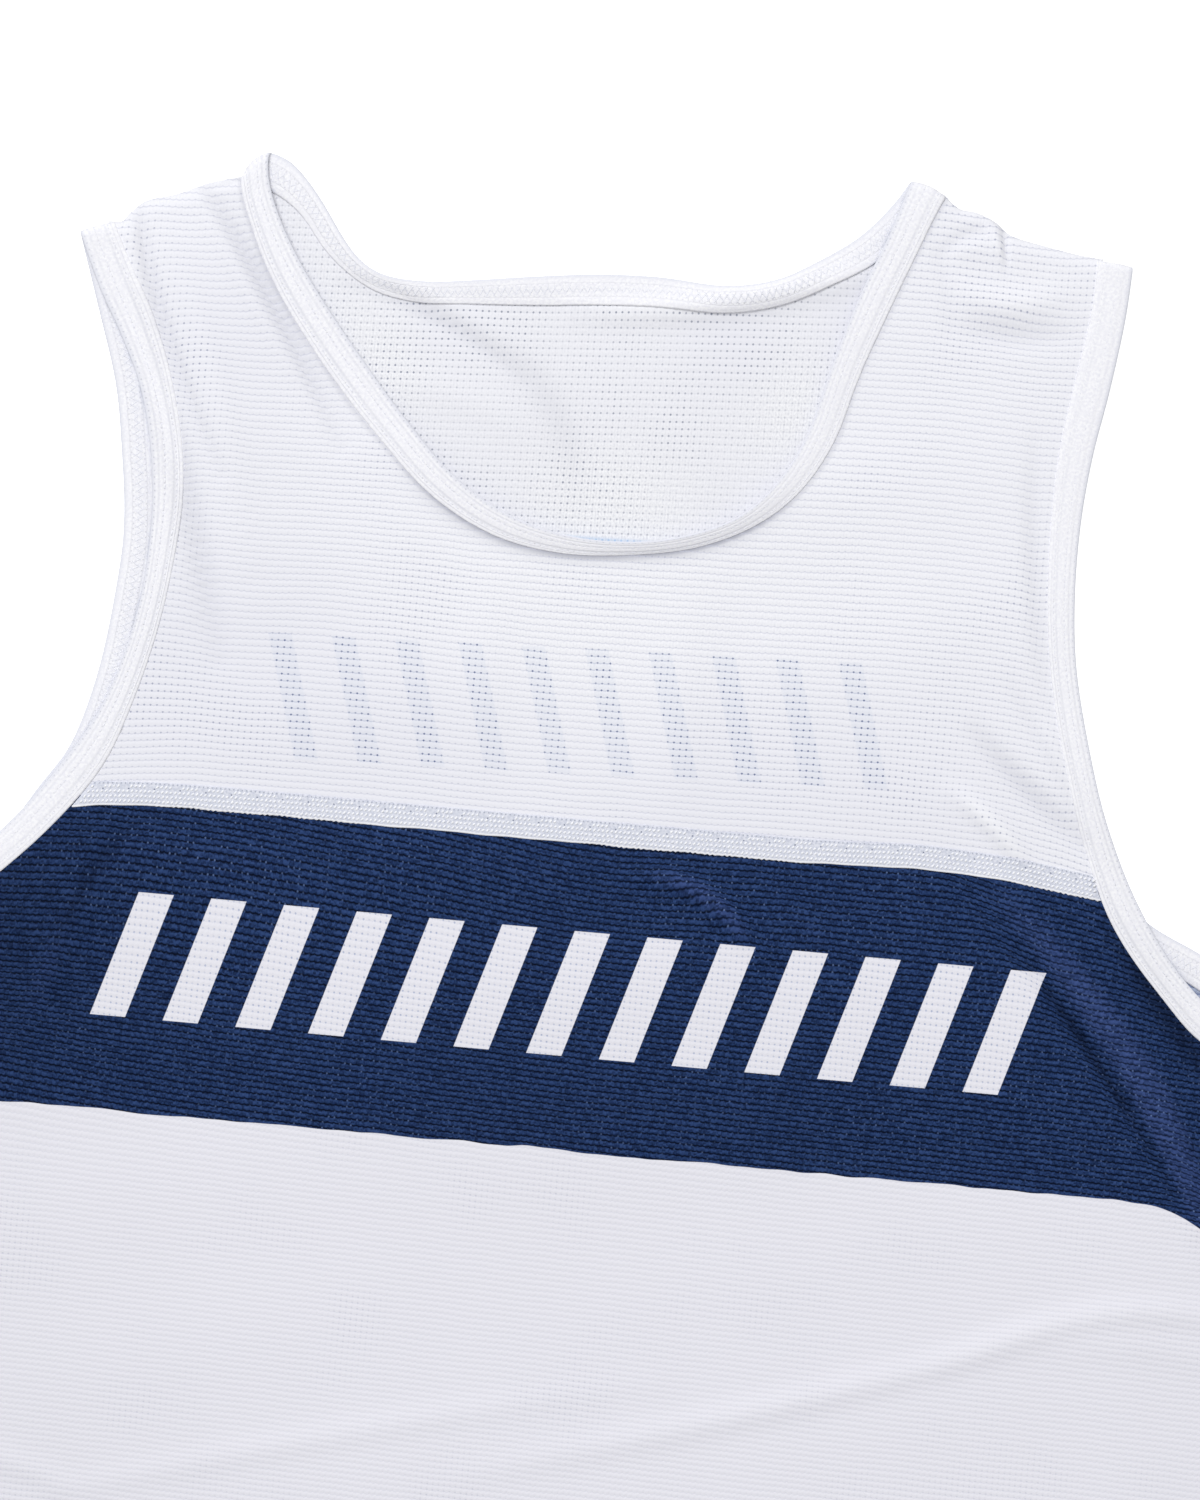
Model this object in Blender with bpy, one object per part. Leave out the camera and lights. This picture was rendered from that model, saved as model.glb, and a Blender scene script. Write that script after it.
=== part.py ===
# A running singlet laid flat, front side up: two yokes, two bodies, two chest seams
# and three bindings. +Y runs to the neck, +Z up, the origin is under the middle.
import math

import bpy
import numpy as np

MM = 0.001  # the sizes below are in millimetres

# cloth and layers
PANEL_WALL = 1.2        # knit panel with its air
BINDING_WALL = 1.6      # jersey folded double round the edge
SEAM_WALL = 1.6         # two panels lapped under the cover stitch
SEAM_GAP = 0.35         # clearance between two sewn pieces
TURN_GAP = 0.8          # more of it where a binding turns
BACK_MID = 0.6          # height of the middle of the back panels' wall
BACK_BINDING_MID = 0.85 # of the back half of a binding, and of the back seam
FRONT_MID = 2.8         # of the front panels and the front half of a binding
FOLD_MID = 1.85         # of a binding where it turns from front to back
FOLD_RADIUS = 1.0       # of that turn
SHUT_DROP = 0.7         # how far the front comes down to a shoulder or side seam

# outline
SIDE_X = 250.0          # half width at the hem
WAIST_PULL = 4.0        # how far the sides come in between underarm and hem
PIT_X = 247.5           # half width at the underarm
PIT_Y = 59.0            # underarm height, sewn edge
HEM_Y = -344.5
HEM_BOW = 5.0           # the hem's middle hangs lower than its corners
HEM_TURN = 20.0         # depth of the turned-up hem
HEM_STEP = 1.5          # the raw edge ends within this height above it
HEM_EXTRA = 0.5         # how much thicker the hem lies
SEAM_WIDTH = 7.7        # visible width of the chest seam

# grid density
YOKE_ROWS = 11          # steps along the armhole beside the yoke
ARM_ROWS = 6            # steps along the armhole beside the body
HEM_ROWS = 2            # rows of points in the hem
SIDE_ROWS = 14          # steps from the hem up to the underarm
SEAM_STEPS = 24         # steps along the chest seam
NECK_STEPS = 2 * YOKE_ROWS + SEAM_STEPS
STRAP_STEPS = 9         # steps across the yoke, from its outer edge to the neck
FINE_STEPS = 400        # samples of a curve when its length or a crossing is measured
SHOULDER_FADE = (0.7, 0.35)  # share of the shoulder line's shape in the next two columns
BINDING_ACROSS = (0.0, 0.3, 1.0)
STAND_SHARE = (0.0, 0.0, 1.0)

# Every row of a binding is one section across the strip. Its columns:
FREE = slice(0, 2)      # x, y of the free edge
SEWN = slice(2, 4)      # x, y of the edge sewn to the panel
STAND = 4               # how far the free edge stands up
LEFT_ARM_FRONT = (   # shoulder to underarm
    (-185.7, 303.2, -174.3, 307.1, 0.0),
    (-176.9, 284.0, -165.3, 290.0, 1.0),
    (-168.9, 269.9, -157.9, 275.8, 2.0),
    (-160.4, 252.0, -149.6, 254.4, 2.5),
    (-154.9, 230.1, -144.2, 231.5, 3.0),
    (-152.8, 206.0, -143.3, 206.5, 4.0),
    (-154.8, 178.0, -146.7, 176.0, 5.0),
    (-162.2, 149.5, -154.0, 145.8, 5.0),
    (-173.8, 127.5, -164.0, 121.0, 4.0),
    (-194.4, 100.1, -187.0, 92.3, 3.0),
    (-219.0, 80.5, -213.5, 70.5, 1.5),
    (-248.0, 70.0, -PIT_X, PIT_Y, 0.0),
)
LEFT_ARM_BACK = (
    (-185.7, 303.2, -174.3, 307.1, 0.0),
    (-177.2, 278.0, -166.8, 282.5, 0.0),
    (-169.0, 252.7, -158.3, 256.0, 0.0),
    (-164.8, 229.0, -153.9, 231.0, 0.0),
    (-162.9, 209.0, -151.9, 209.5, 0.0),
    (-163.6, 191.0, -152.6, 190.5, 0.0),
    (-168.0, 159.0, -157.3, 156.5, 0.0),
    (-174.1, 132.9, -164.4, 127.9, 0.0),
    (-182.3, 116.8, -173.5, 110.5, 0.0),
    (-196.0, 97.0, -188.5, 89.0, 0.0),
    (-220.0, 78.0, -214.0, 68.0, 0.0),
    (-248.0, 70.0, -PIT_X, PIT_Y, 0.0),
)
RIGHT_ARM_FRONT = (
    (166.8, 322.5, 154.9, 323.4, 0.0),
    (165.6, 303.0, 153.9, 304.0, 0.5),
    (162.5, 279.1, 150.6, 281.3, 1.0),
    (158.9, 257.5, 147.6, 259.0, 1.5),
    (156.9, 235.0, 146.9, 236.0, 2.5),
    (157.0, 211.0, 147.9, 209.5, 3.5),
    (159.5, 187.5, 151.0, 185.5, 4.5),
    (165.6, 162.5, 157.0, 159.5, 5.0),
    (174.4, 135.7, 166.0, 131.5, 4.0),
    (187.5, 109.0, 178.4, 103.0, 3.0),
    (204.7, 85.8, 197.3, 79.7, 3.0),
    (223.0, 72.5, 217.0, 63.0, 1.5),
    (248.0, 69.0, PIT_X, PIT_Y, 0.0),
)
RIGHT_ARM_BACK = (
    (166.8, 322.5, 154.9, 323.4, 0.0),
    (162.5, 290.0, 151.3, 292.0, 0.0),
    (158.0, 262.0, 147.5, 265.0, 0.0),
    (154.5, 238.0, 143.5, 240.0, 0.0),
    (154.0, 208.0, 143.0, 208.0, 0.0),
    (156.5, 178.0, 146.0, 176.0, 0.0),
    (162.0, 150.0, 152.0, 146.0, 0.0),
    (170.0, 128.0, 161.0, 122.0, 0.0),
    (180.0, 112.5, 172.5, 104.5, 0.0),
    (193.0, 102.5, 187.0, 93.0, 0.0),
    (209.6, 94.8, 205.2, 85.2, 0.0),
    (230.0, 84.0, 226.0, 73.5, 0.0),
    (248.0, 69.0, PIT_X, PIT_Y, 0.0),
)
NECK_FRONT = (       # left shoulder, down round the front, right shoulder
    (-124.7, 334.9, -133.4, 324.3, 0.0),
    (-124.2, 326.0, -131.9, 318.0, 1.5),
    (-120.6, 316.0, -129.3, 311.5, 2.0),
    (-114.0, 303.5, -123.2, 298.0, 2.5),
    (-104.4, 289.4, -113.9, 282.9, 2.5),
    (-89.0, 270.0, -98.2, 262.6, 3.0),
    (-72.0, 250.4, -80.1, 242.9, 4.0),
    (-54.0, 232.5, -60.8, 225.0, 5.0),
    (-35.0, 221.0, -38.6, 213.3, 6.0),
    (-13.0, 215.3, -14.6, 209.2, 7.0),
    (9.0, 215.3, 9.8, 211.0, 7.5),
    (27.0, 219.3, 30.3, 215.4, 7.5),
    (43.0, 227.0, 48.2, 224.0, 7.0),
    (54.6, 239.5, 62.0, 236.3, 6.0),
    (63.3, 257.0, 72.3, 254.2, 4.5),
    (69.3, 280.2, 79.0, 277.5, 3.5),
    (76.5, 304.4, 86.8, 299.6, 2.5),
    (84.1, 324.1, 94.6, 320.4, 2.0),
    (87.4, 334.8, 98.8, 331.4, 1.0),
    (90.5, 344.5, 102.5, 340.0, 0.0),
)
NECK_BACK = (        # right shoulder, round the back neck, left shoulder
    (90.5, 344.5, 102.5, 340.0, 0.0),
    (84.5, 335.0, 92.4, 327.6, 0.0),
    (74.7, 323.8, 80.8, 315.4, 0.5),
    (61.4, 314.3, 66.2, 306.4, 1.5),
    (47.9, 306.9, 50.6, 298.6, 2.5),
    (31.0, 303.4, 32.0, 294.3, 2.5),
    (10.0, 304.4, 10.0, 294.2, 2.0),
    (-11.2, 303.5, -10.5, 293.1, 2.0),
    (-32.4, 300.9, -31.5, 291.2, 2.5),
    (-52.6, 297.9, -52.0, 289.8, 3.5),
    (-69.0, 296.0, -69.8, 288.8, 5.0),
    (-82.5, 296.9, -84.4, 291.0, 6.0),
    (-91.3, 301.4, -95.3, 296.8, 6.0),
    (-98.0, 309.0, -103.9, 304.2, 4.5),
    (-106.5, 321.0, -112.4, 314.7, 2.0),
    (-116.0, 331.2, -121.6, 320.9, 0.5),
    (-124.7, 334.9, -133.4, 324.3, 0.0),
)
# Seam lines, as x, y: shoulders from the armhole to the neck, chest seams from left to right.
LEFT_SHOULDER = (
    (-174.3, 307.1),
    (-170.3, 307.3),
    (-167.0, 311.2),
    (-162.8, 314.6),
    (-153.7, 317.2),
    (-144.5, 321.2),
    (-133.4, 324.3),
)
RIGHT_SHOULDER = (
    (154.9, 323.4),
    (146.7, 324.2),
    (134.5, 326.2),
    (125.2, 328.3),
    (119.9, 332.2),
    (114.2, 334.6),
    (108.0, 335.6),
    (102.5, 340.0),
)
FRONT_SEAM_LINE = (  # its lower edge
    (-178.0, 109.2),
    (-160.0, 112.0),
    (-130.0, 113.4),
    (-60.0, 113.4),
    (70.0, 113.6),
    (112.0, 114.9),
    (143.0, 113.4),
    (160.0, 111.4),
    (184.0, 108.0),
)
BACK_SEAM_LINE = (
    (-184.0, 108.5),
    (-120.0, 112.5),
    (0.0, 115.5),
    (120.0, 118.0),
    (184.0, 117.5),
)

# The largest folds of the front: a ridge from one place to another by way of a third.
FOLD_COLUMNS = ("from_x", "from_y", "via_x", "via_y", "to_x", "to_y", "half_width", "height")
FRONT_FOLDS = (
    (139.0, 112.0, 166.0, 84.0, 232.0, 8.0, 9.0, 4.0),       # across the band, right
    (8.0, 108.0, 42.0, 104.0, 62.0, 78.0, 8.0, 1.6),         # short one in the band
    (-20.0, -104.0, 80.0, -82.0, 244.0, -2.0, 15.0, 4.0),    # below the band, right
    (-190.0, -128.0, -100.0, -98.0, 10.0, -60.0, 16.0, 3.0), # below the band, left
    (-205.0, -200.0, -90.0, -165.0, 60.0, -170.0, 18.0, 3.0),
    (-60.0, -265.0, 70.0, -235.0, 225.0, -175.0, 18.0, 3.5),
    (-150.0, 292.0, -133.0, 240.0, -122.0, 190.0, 9.0, 1.8), # left strap
    (104.0, 322.0, 112.0, 325.0, 122.0, 322.0, 7.0, 3.0),    # knuckle on the right strap
    (112.0, 306.0, 128.0, 303.0, 142.0, 310.0, 7.0, 1.6),
    (118.0, 158.0, 136.0, 144.0, 152.0, 122.0, 7.0, 1.8),    # drag lines to the right underarm
    (140.0, 165.0, 152.0, 150.0, 164.0, 128.0, 6.0, 1.8),
)
BACK_FOLDS = (           # only where the neck opening shows the back
    (-84.0, 286.0, -30.0, 286.0, -10.0, 240.0, 9.0, 2.4),
    (20.0, 284.0, 45.0, 272.0, 52.0, 262.0, 10.0, 1.4),
)
NECK_LIFT = 2.0          # the front's neck edge is drawn up by its binding
NECK_LIFT_REACH = 30.0
NECK_LIFT_CENTRE = (-14.0, 300.0)
NECK_LIFT_RADIUS = 92.0
NECK_LIFT_TOP = 290.0
PUFF = 1.4               # the front lies this much higher over the middle of the body
PUFF_REACH = 60.0        # and comes down within this distance of the sides

WHITE = (0.83, 0.84, 0.89)
BINDING_WHITE = (0.86, 0.87, 0.91)


def smooth_path(rows, samples):
    """Points at the given row numbers (0 is the first row) of a smooth curve through rows."""
    points = np.array(rows, float)
    last = len(points) - 1
    result = []
    for place in samples:
        i = min(int(math.floor(place)), last - 1)
        t = place - i
        p1, p2 = points[i], points[i + 1]
        p0 = points[i - 1] if i > 0 else 2 * p1 - p2
        p3 = points[i + 2] if i + 2 <= last else 2 * p2 - p1
        m1, m2 = (p2 - p0) / 2, (p3 - p1) / 2
        a, b = 2 * t**3 - 3 * t**2 + 1, t**3 - 2 * t**2 + t
        c, d = -2 * t**3 + 3 * t**2, t**3 - t**2
        result.append(a * p1 + b * m1 + c * p2 + d * m2)
    return np.array(result)


def even_places(rows, start, end, steps, columns=slice(0, 2)):
    """Row numbers from start to end that lie evenly along the curve of the x, y columns."""
    fine = np.linspace(start, end, FINE_STEPS)
    track = smooth_path(rows, fine)[:, columns]
    length = np.concatenate(([0.0], np.cumsum(np.linalg.norm(np.diff(track, axis=0), axis=1))))
    return np.interp(np.linspace(0.0, length[-1], steps + 1), length, fine)


def seam_height(line, x):
    """The height of a seam line at x, its points joined smoothly."""
    fine = smooth_path(line, np.linspace(0, len(line) - 1, FINE_STEPS))
    return np.interp(x, fine[:, 0], fine[:, 1])


def crossing(rows, line, rise):
    """The row number at which a binding's sewn edge crosses a seam line raised by rise."""
    fine = np.linspace(0, len(rows) - 1, FINE_STEPS)
    x, y = smooth_path(rows, fine)[:, SEWN].T
    above = y - (seam_height(line, x) + rise)
    change = np.where(np.sign(above[:-1]) != np.sign(above[1:]))[0][0]
    share = above[change] / (above[change] - above[change + 1])
    return fine[change] + share * (fine[change + 1] - fine[change])


def fold_height(x, y, folds):
    """Height that the folds add at each x, y."""
    total = np.zeros_like(x)
    along = np.linspace(0.0, 1.0, 33)
    for row in folds:
        fold = dict(zip(FOLD_COLUMNS, row))
        start = np.array((fold["from_x"], fold["from_y"]))
        via = np.array((fold["via_x"], fold["via_y"]))
        end = np.array((fold["to_x"], fold["to_y"]))
        t = along[:, None]
        curve = (1 - t)**2 * start + 2 * t * (1 - t) * via + t**2 * end
        gap = np.stack([np.hypot(x - cx, y - cy) for cx, cy in curve])
        nearest = gap.argmin(axis=0)
        fade = np.sin(np.pi * np.clip(0.08 + 0.84 * along[nearest], 0, 1))
        total += fold["height"] * fade * np.exp(-(gap.min(axis=0) / fold["half_width"])**2)
    return total


def ease(share):
    """0 below 0, 1 above 1, and a smooth rise between."""
    share = np.clip(share, 0, 1)
    return share * share * (3 - 2 * share)


def front_height(x, y):
    """Height of the middle of the front layer's wall."""
    to_neck = np.abs(np.hypot(x - NECK_LIFT_CENTRE[0], y - NECK_LIFT_CENTRE[1]) - NECK_LIFT_RADIUS)
    below_shoulder = ease((NECK_LIFT_TOP - y) / NECK_LIFT_REACH)
    neck = NECK_LIFT * np.exp(-(to_neck / NECK_LIFT_REACH)**2) * below_shoulder
    puff = PUFF * ease((SIDE_X - np.abs(x)) / PUFF_REACH) * ease((PIT_Y + PUFF_REACH - y) / PUFF_REACH)
    return FRONT_MID + neck + puff + fold_height(x, y, FRONT_FOLDS)


def back_height(x, y):
    """Height of the middle of the back panels' wall."""
    return BACK_MID + fold_height(x, y, BACK_FOLDS)


def back_seam_height(x, y):
    return np.full_like(x, BACK_BINDING_MID)


def fill_patch(bottom, top, left, right):
    """Grid of x, y filled smoothly between four edges (rows run from bottom to top)."""
    columns, rows = len(bottom), len(left)
    u = np.linspace(0, 1, columns)[None, :, None]
    v = np.linspace(0, 1, rows)[:, None, None]
    across = (1 - u) * left[:, None, :] + u * right[:, None, :]
    upward = (1 - v) * bottom[None] + v * top[None]
    corners = ((1 - u) * (1 - v) * bottom[0] + u * (1 - v) * bottom[-1]
               + (1 - u) * v * top[0] + u * v * top[-1])
    return across + upward - corners


def material(name, colour, roughness):
    made = bpy.data.materials.new(name)
    made.use_nodes = True
    shader = made.node_tree.nodes["Principled BSDF"]
    shader.inputs["Base Color"].default_value = (*colour, 1)
    shader.inputs["Roughness"].default_value = roughness
    shader.inputs["Metallic"].default_value = 0.0
    return made


def sheet(name, grid, wall, colour, ring=False, hem=False):
    """A closed wall of cloth around a grid of points (rows, columns, xyz in mm)."""
    rows, columns = grid.shape[:2]
    faces = []
    for r in range(rows if ring else rows - 1):
        for c in range(columns - 1):
            below, above = r * columns, ((r + 1) % rows) * columns
            faces.append((below + c, below + c + 1, above + c + 1, above + c))
    mesh = bpy.data.meshes.new(name)
    mesh.from_pydata((grid * MM).reshape(-1, 3).tolist(), [], faces)
    mesh.materials.append(material(name, colour, 0.75))
    piece = bpy.data.objects.new(name, mesh)
    bpy.context.scene.collection.objects.link(piece)
    solid = piece.modifiers.new("wall", "SOLIDIFY")
    solid.thickness = wall * MM
    solid.offset = 0.0
    if hem:
        full = (wall + HEM_EXTRA) * MM
        share = piece.vertex_groups.new(name="wall")
        share.add(list(range(HEM_ROWS * columns)), 1.0, "REPLACE")
        share.add(list(range(HEM_ROWS * columns, rows * columns)), wall * MM / full, "REPLACE")
        solid.thickness = full
        solid.vertex_group = share.name
    return piece


def square_to(edge, beyond):
    """Unit steps square to an edge curve, on the side where the points beyond lie."""
    along = np.gradient(edge, axis=0)
    square = np.column_stack((-along[:, 1], along[:, 0]))
    square /= np.linalg.norm(square, axis=1, keepdims=True)
    same_side = np.sum(square * (beyond - edge), axis=1, keepdims=True) > 0
    return np.where(same_side, square, -square)


def strip_grid(sections, height):
    """Points across a binding, from the sewn edge to the free edge."""
    free, sewn = sections[:, FREE], sections[:, SEWN]
    gap = np.full((len(sewn), 1), SEAM_GAP)
    gap[[0, -1]] += TURN_GAP
    seated = sewn + square_to(sewn, free) * gap
    lines = []
    for share, rise in zip(BINDING_ACROSS, STAND_SHARE):
        flat = seated + (free - seated) * share
        lines.append(np.column_stack((flat, height(*flat.T) + sections[:, STAND] * rise)))
    return np.stack(lines, axis=1)


def toward(start, target):
    """Unit steps in x, y from the points of one section to those of another."""
    step = target[:, :2] - start[:, :2]
    return step / np.linalg.norm(step, axis=1, keepdims=True)


def turn(fold, upper, lower):
    """Three sections that carry a binding round its fold from the front to the back."""
    up, down = toward(fold, upper), toward(fold, lower)
    reach = FOLD_RADIUS + BINDING_WALL / 2
    result = []
    for step, high in ((up * reach, FOLD_MID + FOLD_RADIUS),
                       ((up + down) / 4 * BINDING_WALL, FOLD_MID),
                       (down * reach, FOLD_MID - FOLD_RADIUS)):
        result.append(np.column_stack((fold[:, :2] + step, np.full(len(fold), high))))
    return result


def binding(name, front, back):
    """A ring: front half, turn, back half, turn. front and back meet at both ends."""
    upper, lower = strip_grid(front, front_height), strip_grid(back, back_seam_height)
    far_turn = turn(upper[-1], upper[-2], lower[1])
    near_turn = turn(upper[0], upper[1], lower[-2])
    rows = list(upper[1:-1]) + far_turn + list(lower[1:-1]) + near_turn[::-1]
    return sheet(name, np.array(rows), BINDING_WALL, BINDING_WHITE, ring=True)


def side_edge(sign):
    """The side seam from the hem up to the underarm: the hem's rows, then even ones."""
    corner = HEM_Y + HEM_BOW
    length = PIT_Y - corner
    above_hem = np.linspace(HEM_TURN + HEM_STEP, length, SIDE_ROWS + 1)
    t = np.concatenate(((0.0, HEM_TURN), above_hem)) / length
    x = SIDE_X + (PIT_X - SIDE_X) * t - WAIST_PULL * np.sin(np.pi * t)
    return np.column_stack((sign * x, corner + length * t))


def seam_edge(line, rise, start, end, steps):
    x = np.linspace(start[0], end[0], steps + 1)
    edge = np.column_stack((x, seam_height(line, x) + rise))
    edge[0], edge[-1] = start, end
    return edge


def yoke_grid(left_arm, neck, right_arm, bottom):
    """A horseshoe: lines run from the outer edge (arm, seam, arm) to the neck edge."""
    left, right = left_arm[:YOKE_ROWS, SEWN], right_arm[YOKE_ROWS - 1::-1, SEWN]
    outer = np.vstack((left, bottom, right))
    share = np.linspace(0, 1, STRAP_STEPS + 1)[:, None, None]
    grid = (1 - share) * outer[None] + share * neck[None, :, SEWN]
    for column, rows, neighbours in ((0, LEFT_SHOULDER, (1, 2)), (-1, RIGHT_SHOULDER, (-2, -3))):
        places = even_places(rows, 0, len(rows) - 1, STRAP_STEPS)
        shoulder = smooth_path(rows, places)
        bulge = shoulder - grid[:, column]
        grid[:, column] = shoulder
        for neighbour, part in zip(neighbours, SHOULDER_FADE):
            grid[:, neighbour] += bulge * part
    return grid


def layer(side, left_arm, neck, right_arm, seam_line, height, height_seam):
    """Yoke, body and chest seam of one layer. Arm strands run from shoulder to underarm."""
    low, high = YOKE_ROWS + 1, YOKE_ROWS
    left, right = left_arm[:, SEWN], right_arm[:, SEWN]
    bottom = seam_edge(seam_line, SEAM_WIDTH, left[high], right[high], SEAM_STEPS)
    yoke = yoke_grid(left_arm, neck, right_arm, bottom)

    body_top = seam_edge(seam_line, 0.0, left[low], right[low], SEAM_STEPS)
    left_side = np.vstack((side_edge(-1)[:-1], left[:high:-1]))
    right_side = np.vstack((side_edge(1)[:-1], right[:high:-1]))
    hem = np.linspace(left_side[0], right_side[0], SEAM_STEPS + 1)
    hem[:, 1] -= HEM_BOW * np.sin(np.pi * np.linspace(0, 1, SEAM_STEPS + 1))
    body = fill_patch(hem, body_top, left_side, right_side)

    strip = np.stack((body_top, bottom))
    strip[0, :, 1] += SEAM_GAP
    strip[1, :, 1] -= SEAM_GAP
    strip[:, 0, 0] += SEAM_GAP
    strip[:, -1, 0] -= SEAM_GAP

    def raised(grid, rule):
        return np.dstack((grid, rule(grid[..., 0], grid[..., 1])))

    yoke, body, strip = raised(yoke, height), raised(body, height), raised(strip, height_seam)
    if side == "front":
        yoke[:, [0, -1], 2] = FRONT_MID - SHUT_DROP
        body[:HEM_ROWS + SIDE_ROWS + 1, [0, -1], 2] = FRONT_MID - SHUT_DROP
        body[:HEM_ROWS, [0, -1], 2] += HEM_EXTRA
    body[:HEM_ROWS, :, 2] += HEM_EXTRA / 2
    sheet(side + "_yoke", yoke, PANEL_WALL, WHITE)
    sheet(side + "_body", body, PANEL_WALL, WHITE, hem=True)
    sheet(side + "_seam", strip, SEAM_WALL, BINDING_WHITE)


def neck_strand(rows):
    """Sections of half the neck binding, at the places of the yoke's edge points."""
    return smooth_path(rows, even_places(rows, 0, len(rows) - 1, NECK_STEPS, SEWN))


def arm_strand(rows, seam_line):
    """Sections of half an armhole binding, shoulder to underarm, at the panels' edge points."""
    upper = crossing(rows, seam_line, SEAM_WIDTH)
    lower = crossing(rows, seam_line, 0.0)
    beside_yoke = even_places(rows, 0, upper, YOKE_ROWS, SEWN)
    beside_body = even_places(rows, lower, len(rows) - 1, ARM_ROWS, SEWN)
    return smooth_path(rows, np.concatenate((beside_yoke, beside_body)))


for leftover in list(bpy.data.objects):
    bpy.data.objects.remove(leftover)

neck_front, neck_back = neck_strand(NECK_FRONT), neck_strand(NECK_BACK)
left_front = arm_strand(LEFT_ARM_FRONT, FRONT_SEAM_LINE)
left_back = arm_strand(LEFT_ARM_BACK, BACK_SEAM_LINE)
right_front = arm_strand(RIGHT_ARM_FRONT, FRONT_SEAM_LINE)
right_back = arm_strand(RIGHT_ARM_BACK, BACK_SEAM_LINE)

layer("back", left_back, neck_back[::-1], right_back, BACK_SEAM_LINE,
      back_height, back_seam_height)
layer("front", left_front, neck_front, right_front, FRONT_SEAM_LINE, front_height, front_height)
binding("neck_binding", neck_front, neck_back)
binding("armhole_binding_left", left_front, left_back[::-1])
binding("armhole_binding_right", right_front, right_back[::-1])
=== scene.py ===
# Running singlet laid flat, front side up: knit yokes and bodies, jersey bindings round the
# neck and armholes, a lattice tape over the chest seams and a printed chest band.
import math

import bpy
import numpy as np
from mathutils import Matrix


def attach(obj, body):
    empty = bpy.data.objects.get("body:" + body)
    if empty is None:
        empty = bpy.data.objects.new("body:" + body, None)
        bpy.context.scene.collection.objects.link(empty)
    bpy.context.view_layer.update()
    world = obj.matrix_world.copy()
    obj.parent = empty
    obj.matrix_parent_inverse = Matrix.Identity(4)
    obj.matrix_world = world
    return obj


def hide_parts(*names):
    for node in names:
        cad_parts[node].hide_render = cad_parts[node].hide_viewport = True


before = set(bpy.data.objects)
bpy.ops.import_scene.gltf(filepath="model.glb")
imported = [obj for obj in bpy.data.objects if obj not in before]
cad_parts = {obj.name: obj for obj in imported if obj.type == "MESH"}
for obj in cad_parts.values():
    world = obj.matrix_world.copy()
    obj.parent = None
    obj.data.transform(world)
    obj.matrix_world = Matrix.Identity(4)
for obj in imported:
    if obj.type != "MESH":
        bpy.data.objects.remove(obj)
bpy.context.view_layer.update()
print("frame loaded:", len(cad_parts), "cloth solids")

mm = 0.001  # tables and sizes below are in millimetres

# cut lines
# binding rows: free edge x, y, sewn edge x, y, how far the free edge stands up
free = slice(0, 2)
sewn = slice(2, 4)
stand = 4
leftArmFront = (   # shoulder to underarm
    (-185.7, 303.2, -174.3, 307.1, 0),
    (-176.9, 284, -165.3, 290, 1),
    (-168.9, 269.9, -157.9, 275.8, 2),
    (-160.4, 252, -149.6, 254.4, 2.5),
    (-154.9, 230.1, -144.2, 231.5, 3),
    (-152.8, 206, -143.3, 206.5, 4),
    (-154.8, 178, -146.7, 176, 5),
    (-162.2, 149.5, -154, 145.8, 5),
    (-173.8, 127.5, -164, 121, 4),
    (-194.4, 100.1, -187, 92.3, 3),
    (-219, 80.5, -213.5, 70.5, 1.5),
    (-248, 70, -247.5, 59, 0),
)
leftArmBack = (
    (-185.7, 303.2, -174.3, 307.1, 0),
    (-177.2, 278, -166.8, 282.5, 0),
    (-169, 252.7, -158.3, 256, 0),
    (-164.8, 229, -153.9, 231, 0),
    (-162.3, 209, -151.3, 209.5, 0),
    (-162.4, 191, -151.4, 190.5, 0),
    (-165.9, 159, -155.2, 156.5, 0),
    (-172.7, 132.9, -163, 127.9, 0),
    (-182.3, 116.8, -173.5, 110.5, 0),
    (-196, 97, -188.5, 89, 0),
    (-220, 78, -214, 68, 0),
    (-248, 70, -247.5, 59, 0),
)
rightArmFront = (
    (166.8, 322.5, 154.9, 323.4, 0),
    (165.6, 303, 153.9, 304, 0.5),
    (162.5, 279.1, 150.6, 281.3, 1),
    (158.9, 257.5, 147.6, 259, 1.5),
    (156.9, 235, 146.9, 236, 2.5),
    (157, 211, 147.9, 209.5, 3.5),
    (159.5, 187.5, 151, 185.5, 4.5),
    (165.6, 162.5, 157, 159.5, 5),
    (174.4, 135.7, 166, 131.5, 4),
    (187.5, 109, 178.4, 103, 3),
    (204.7, 85.8, 197.3, 79.7, 3),
    (223, 72.5, 217, 63, 1.5),
    (248, 69, 247.5, 59, 0),
)
rightArmBack = (
    (166.8, 322.5, 154.9, 323.4, 0),
    (162.5, 290, 151.3, 292, 0),
    (158, 262, 147.5, 265, 0),
    (154.5, 238, 143.5, 240, 0),
    (154, 208, 143, 208, 0),
    (156.5, 178, 146, 176, 0),
    (162, 150, 152, 146, 0),
    (170, 128, 161, 122, 0),
    (180, 112.5, 172.5, 104.5, 0),
    (193, 102.5, 187, 93, 0),
    (209.6, 94.8, 205.2, 85.2, 0),
    (230, 84, 226, 73.5, 0),
    (248, 69, 247.5, 59, 0),
)
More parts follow.
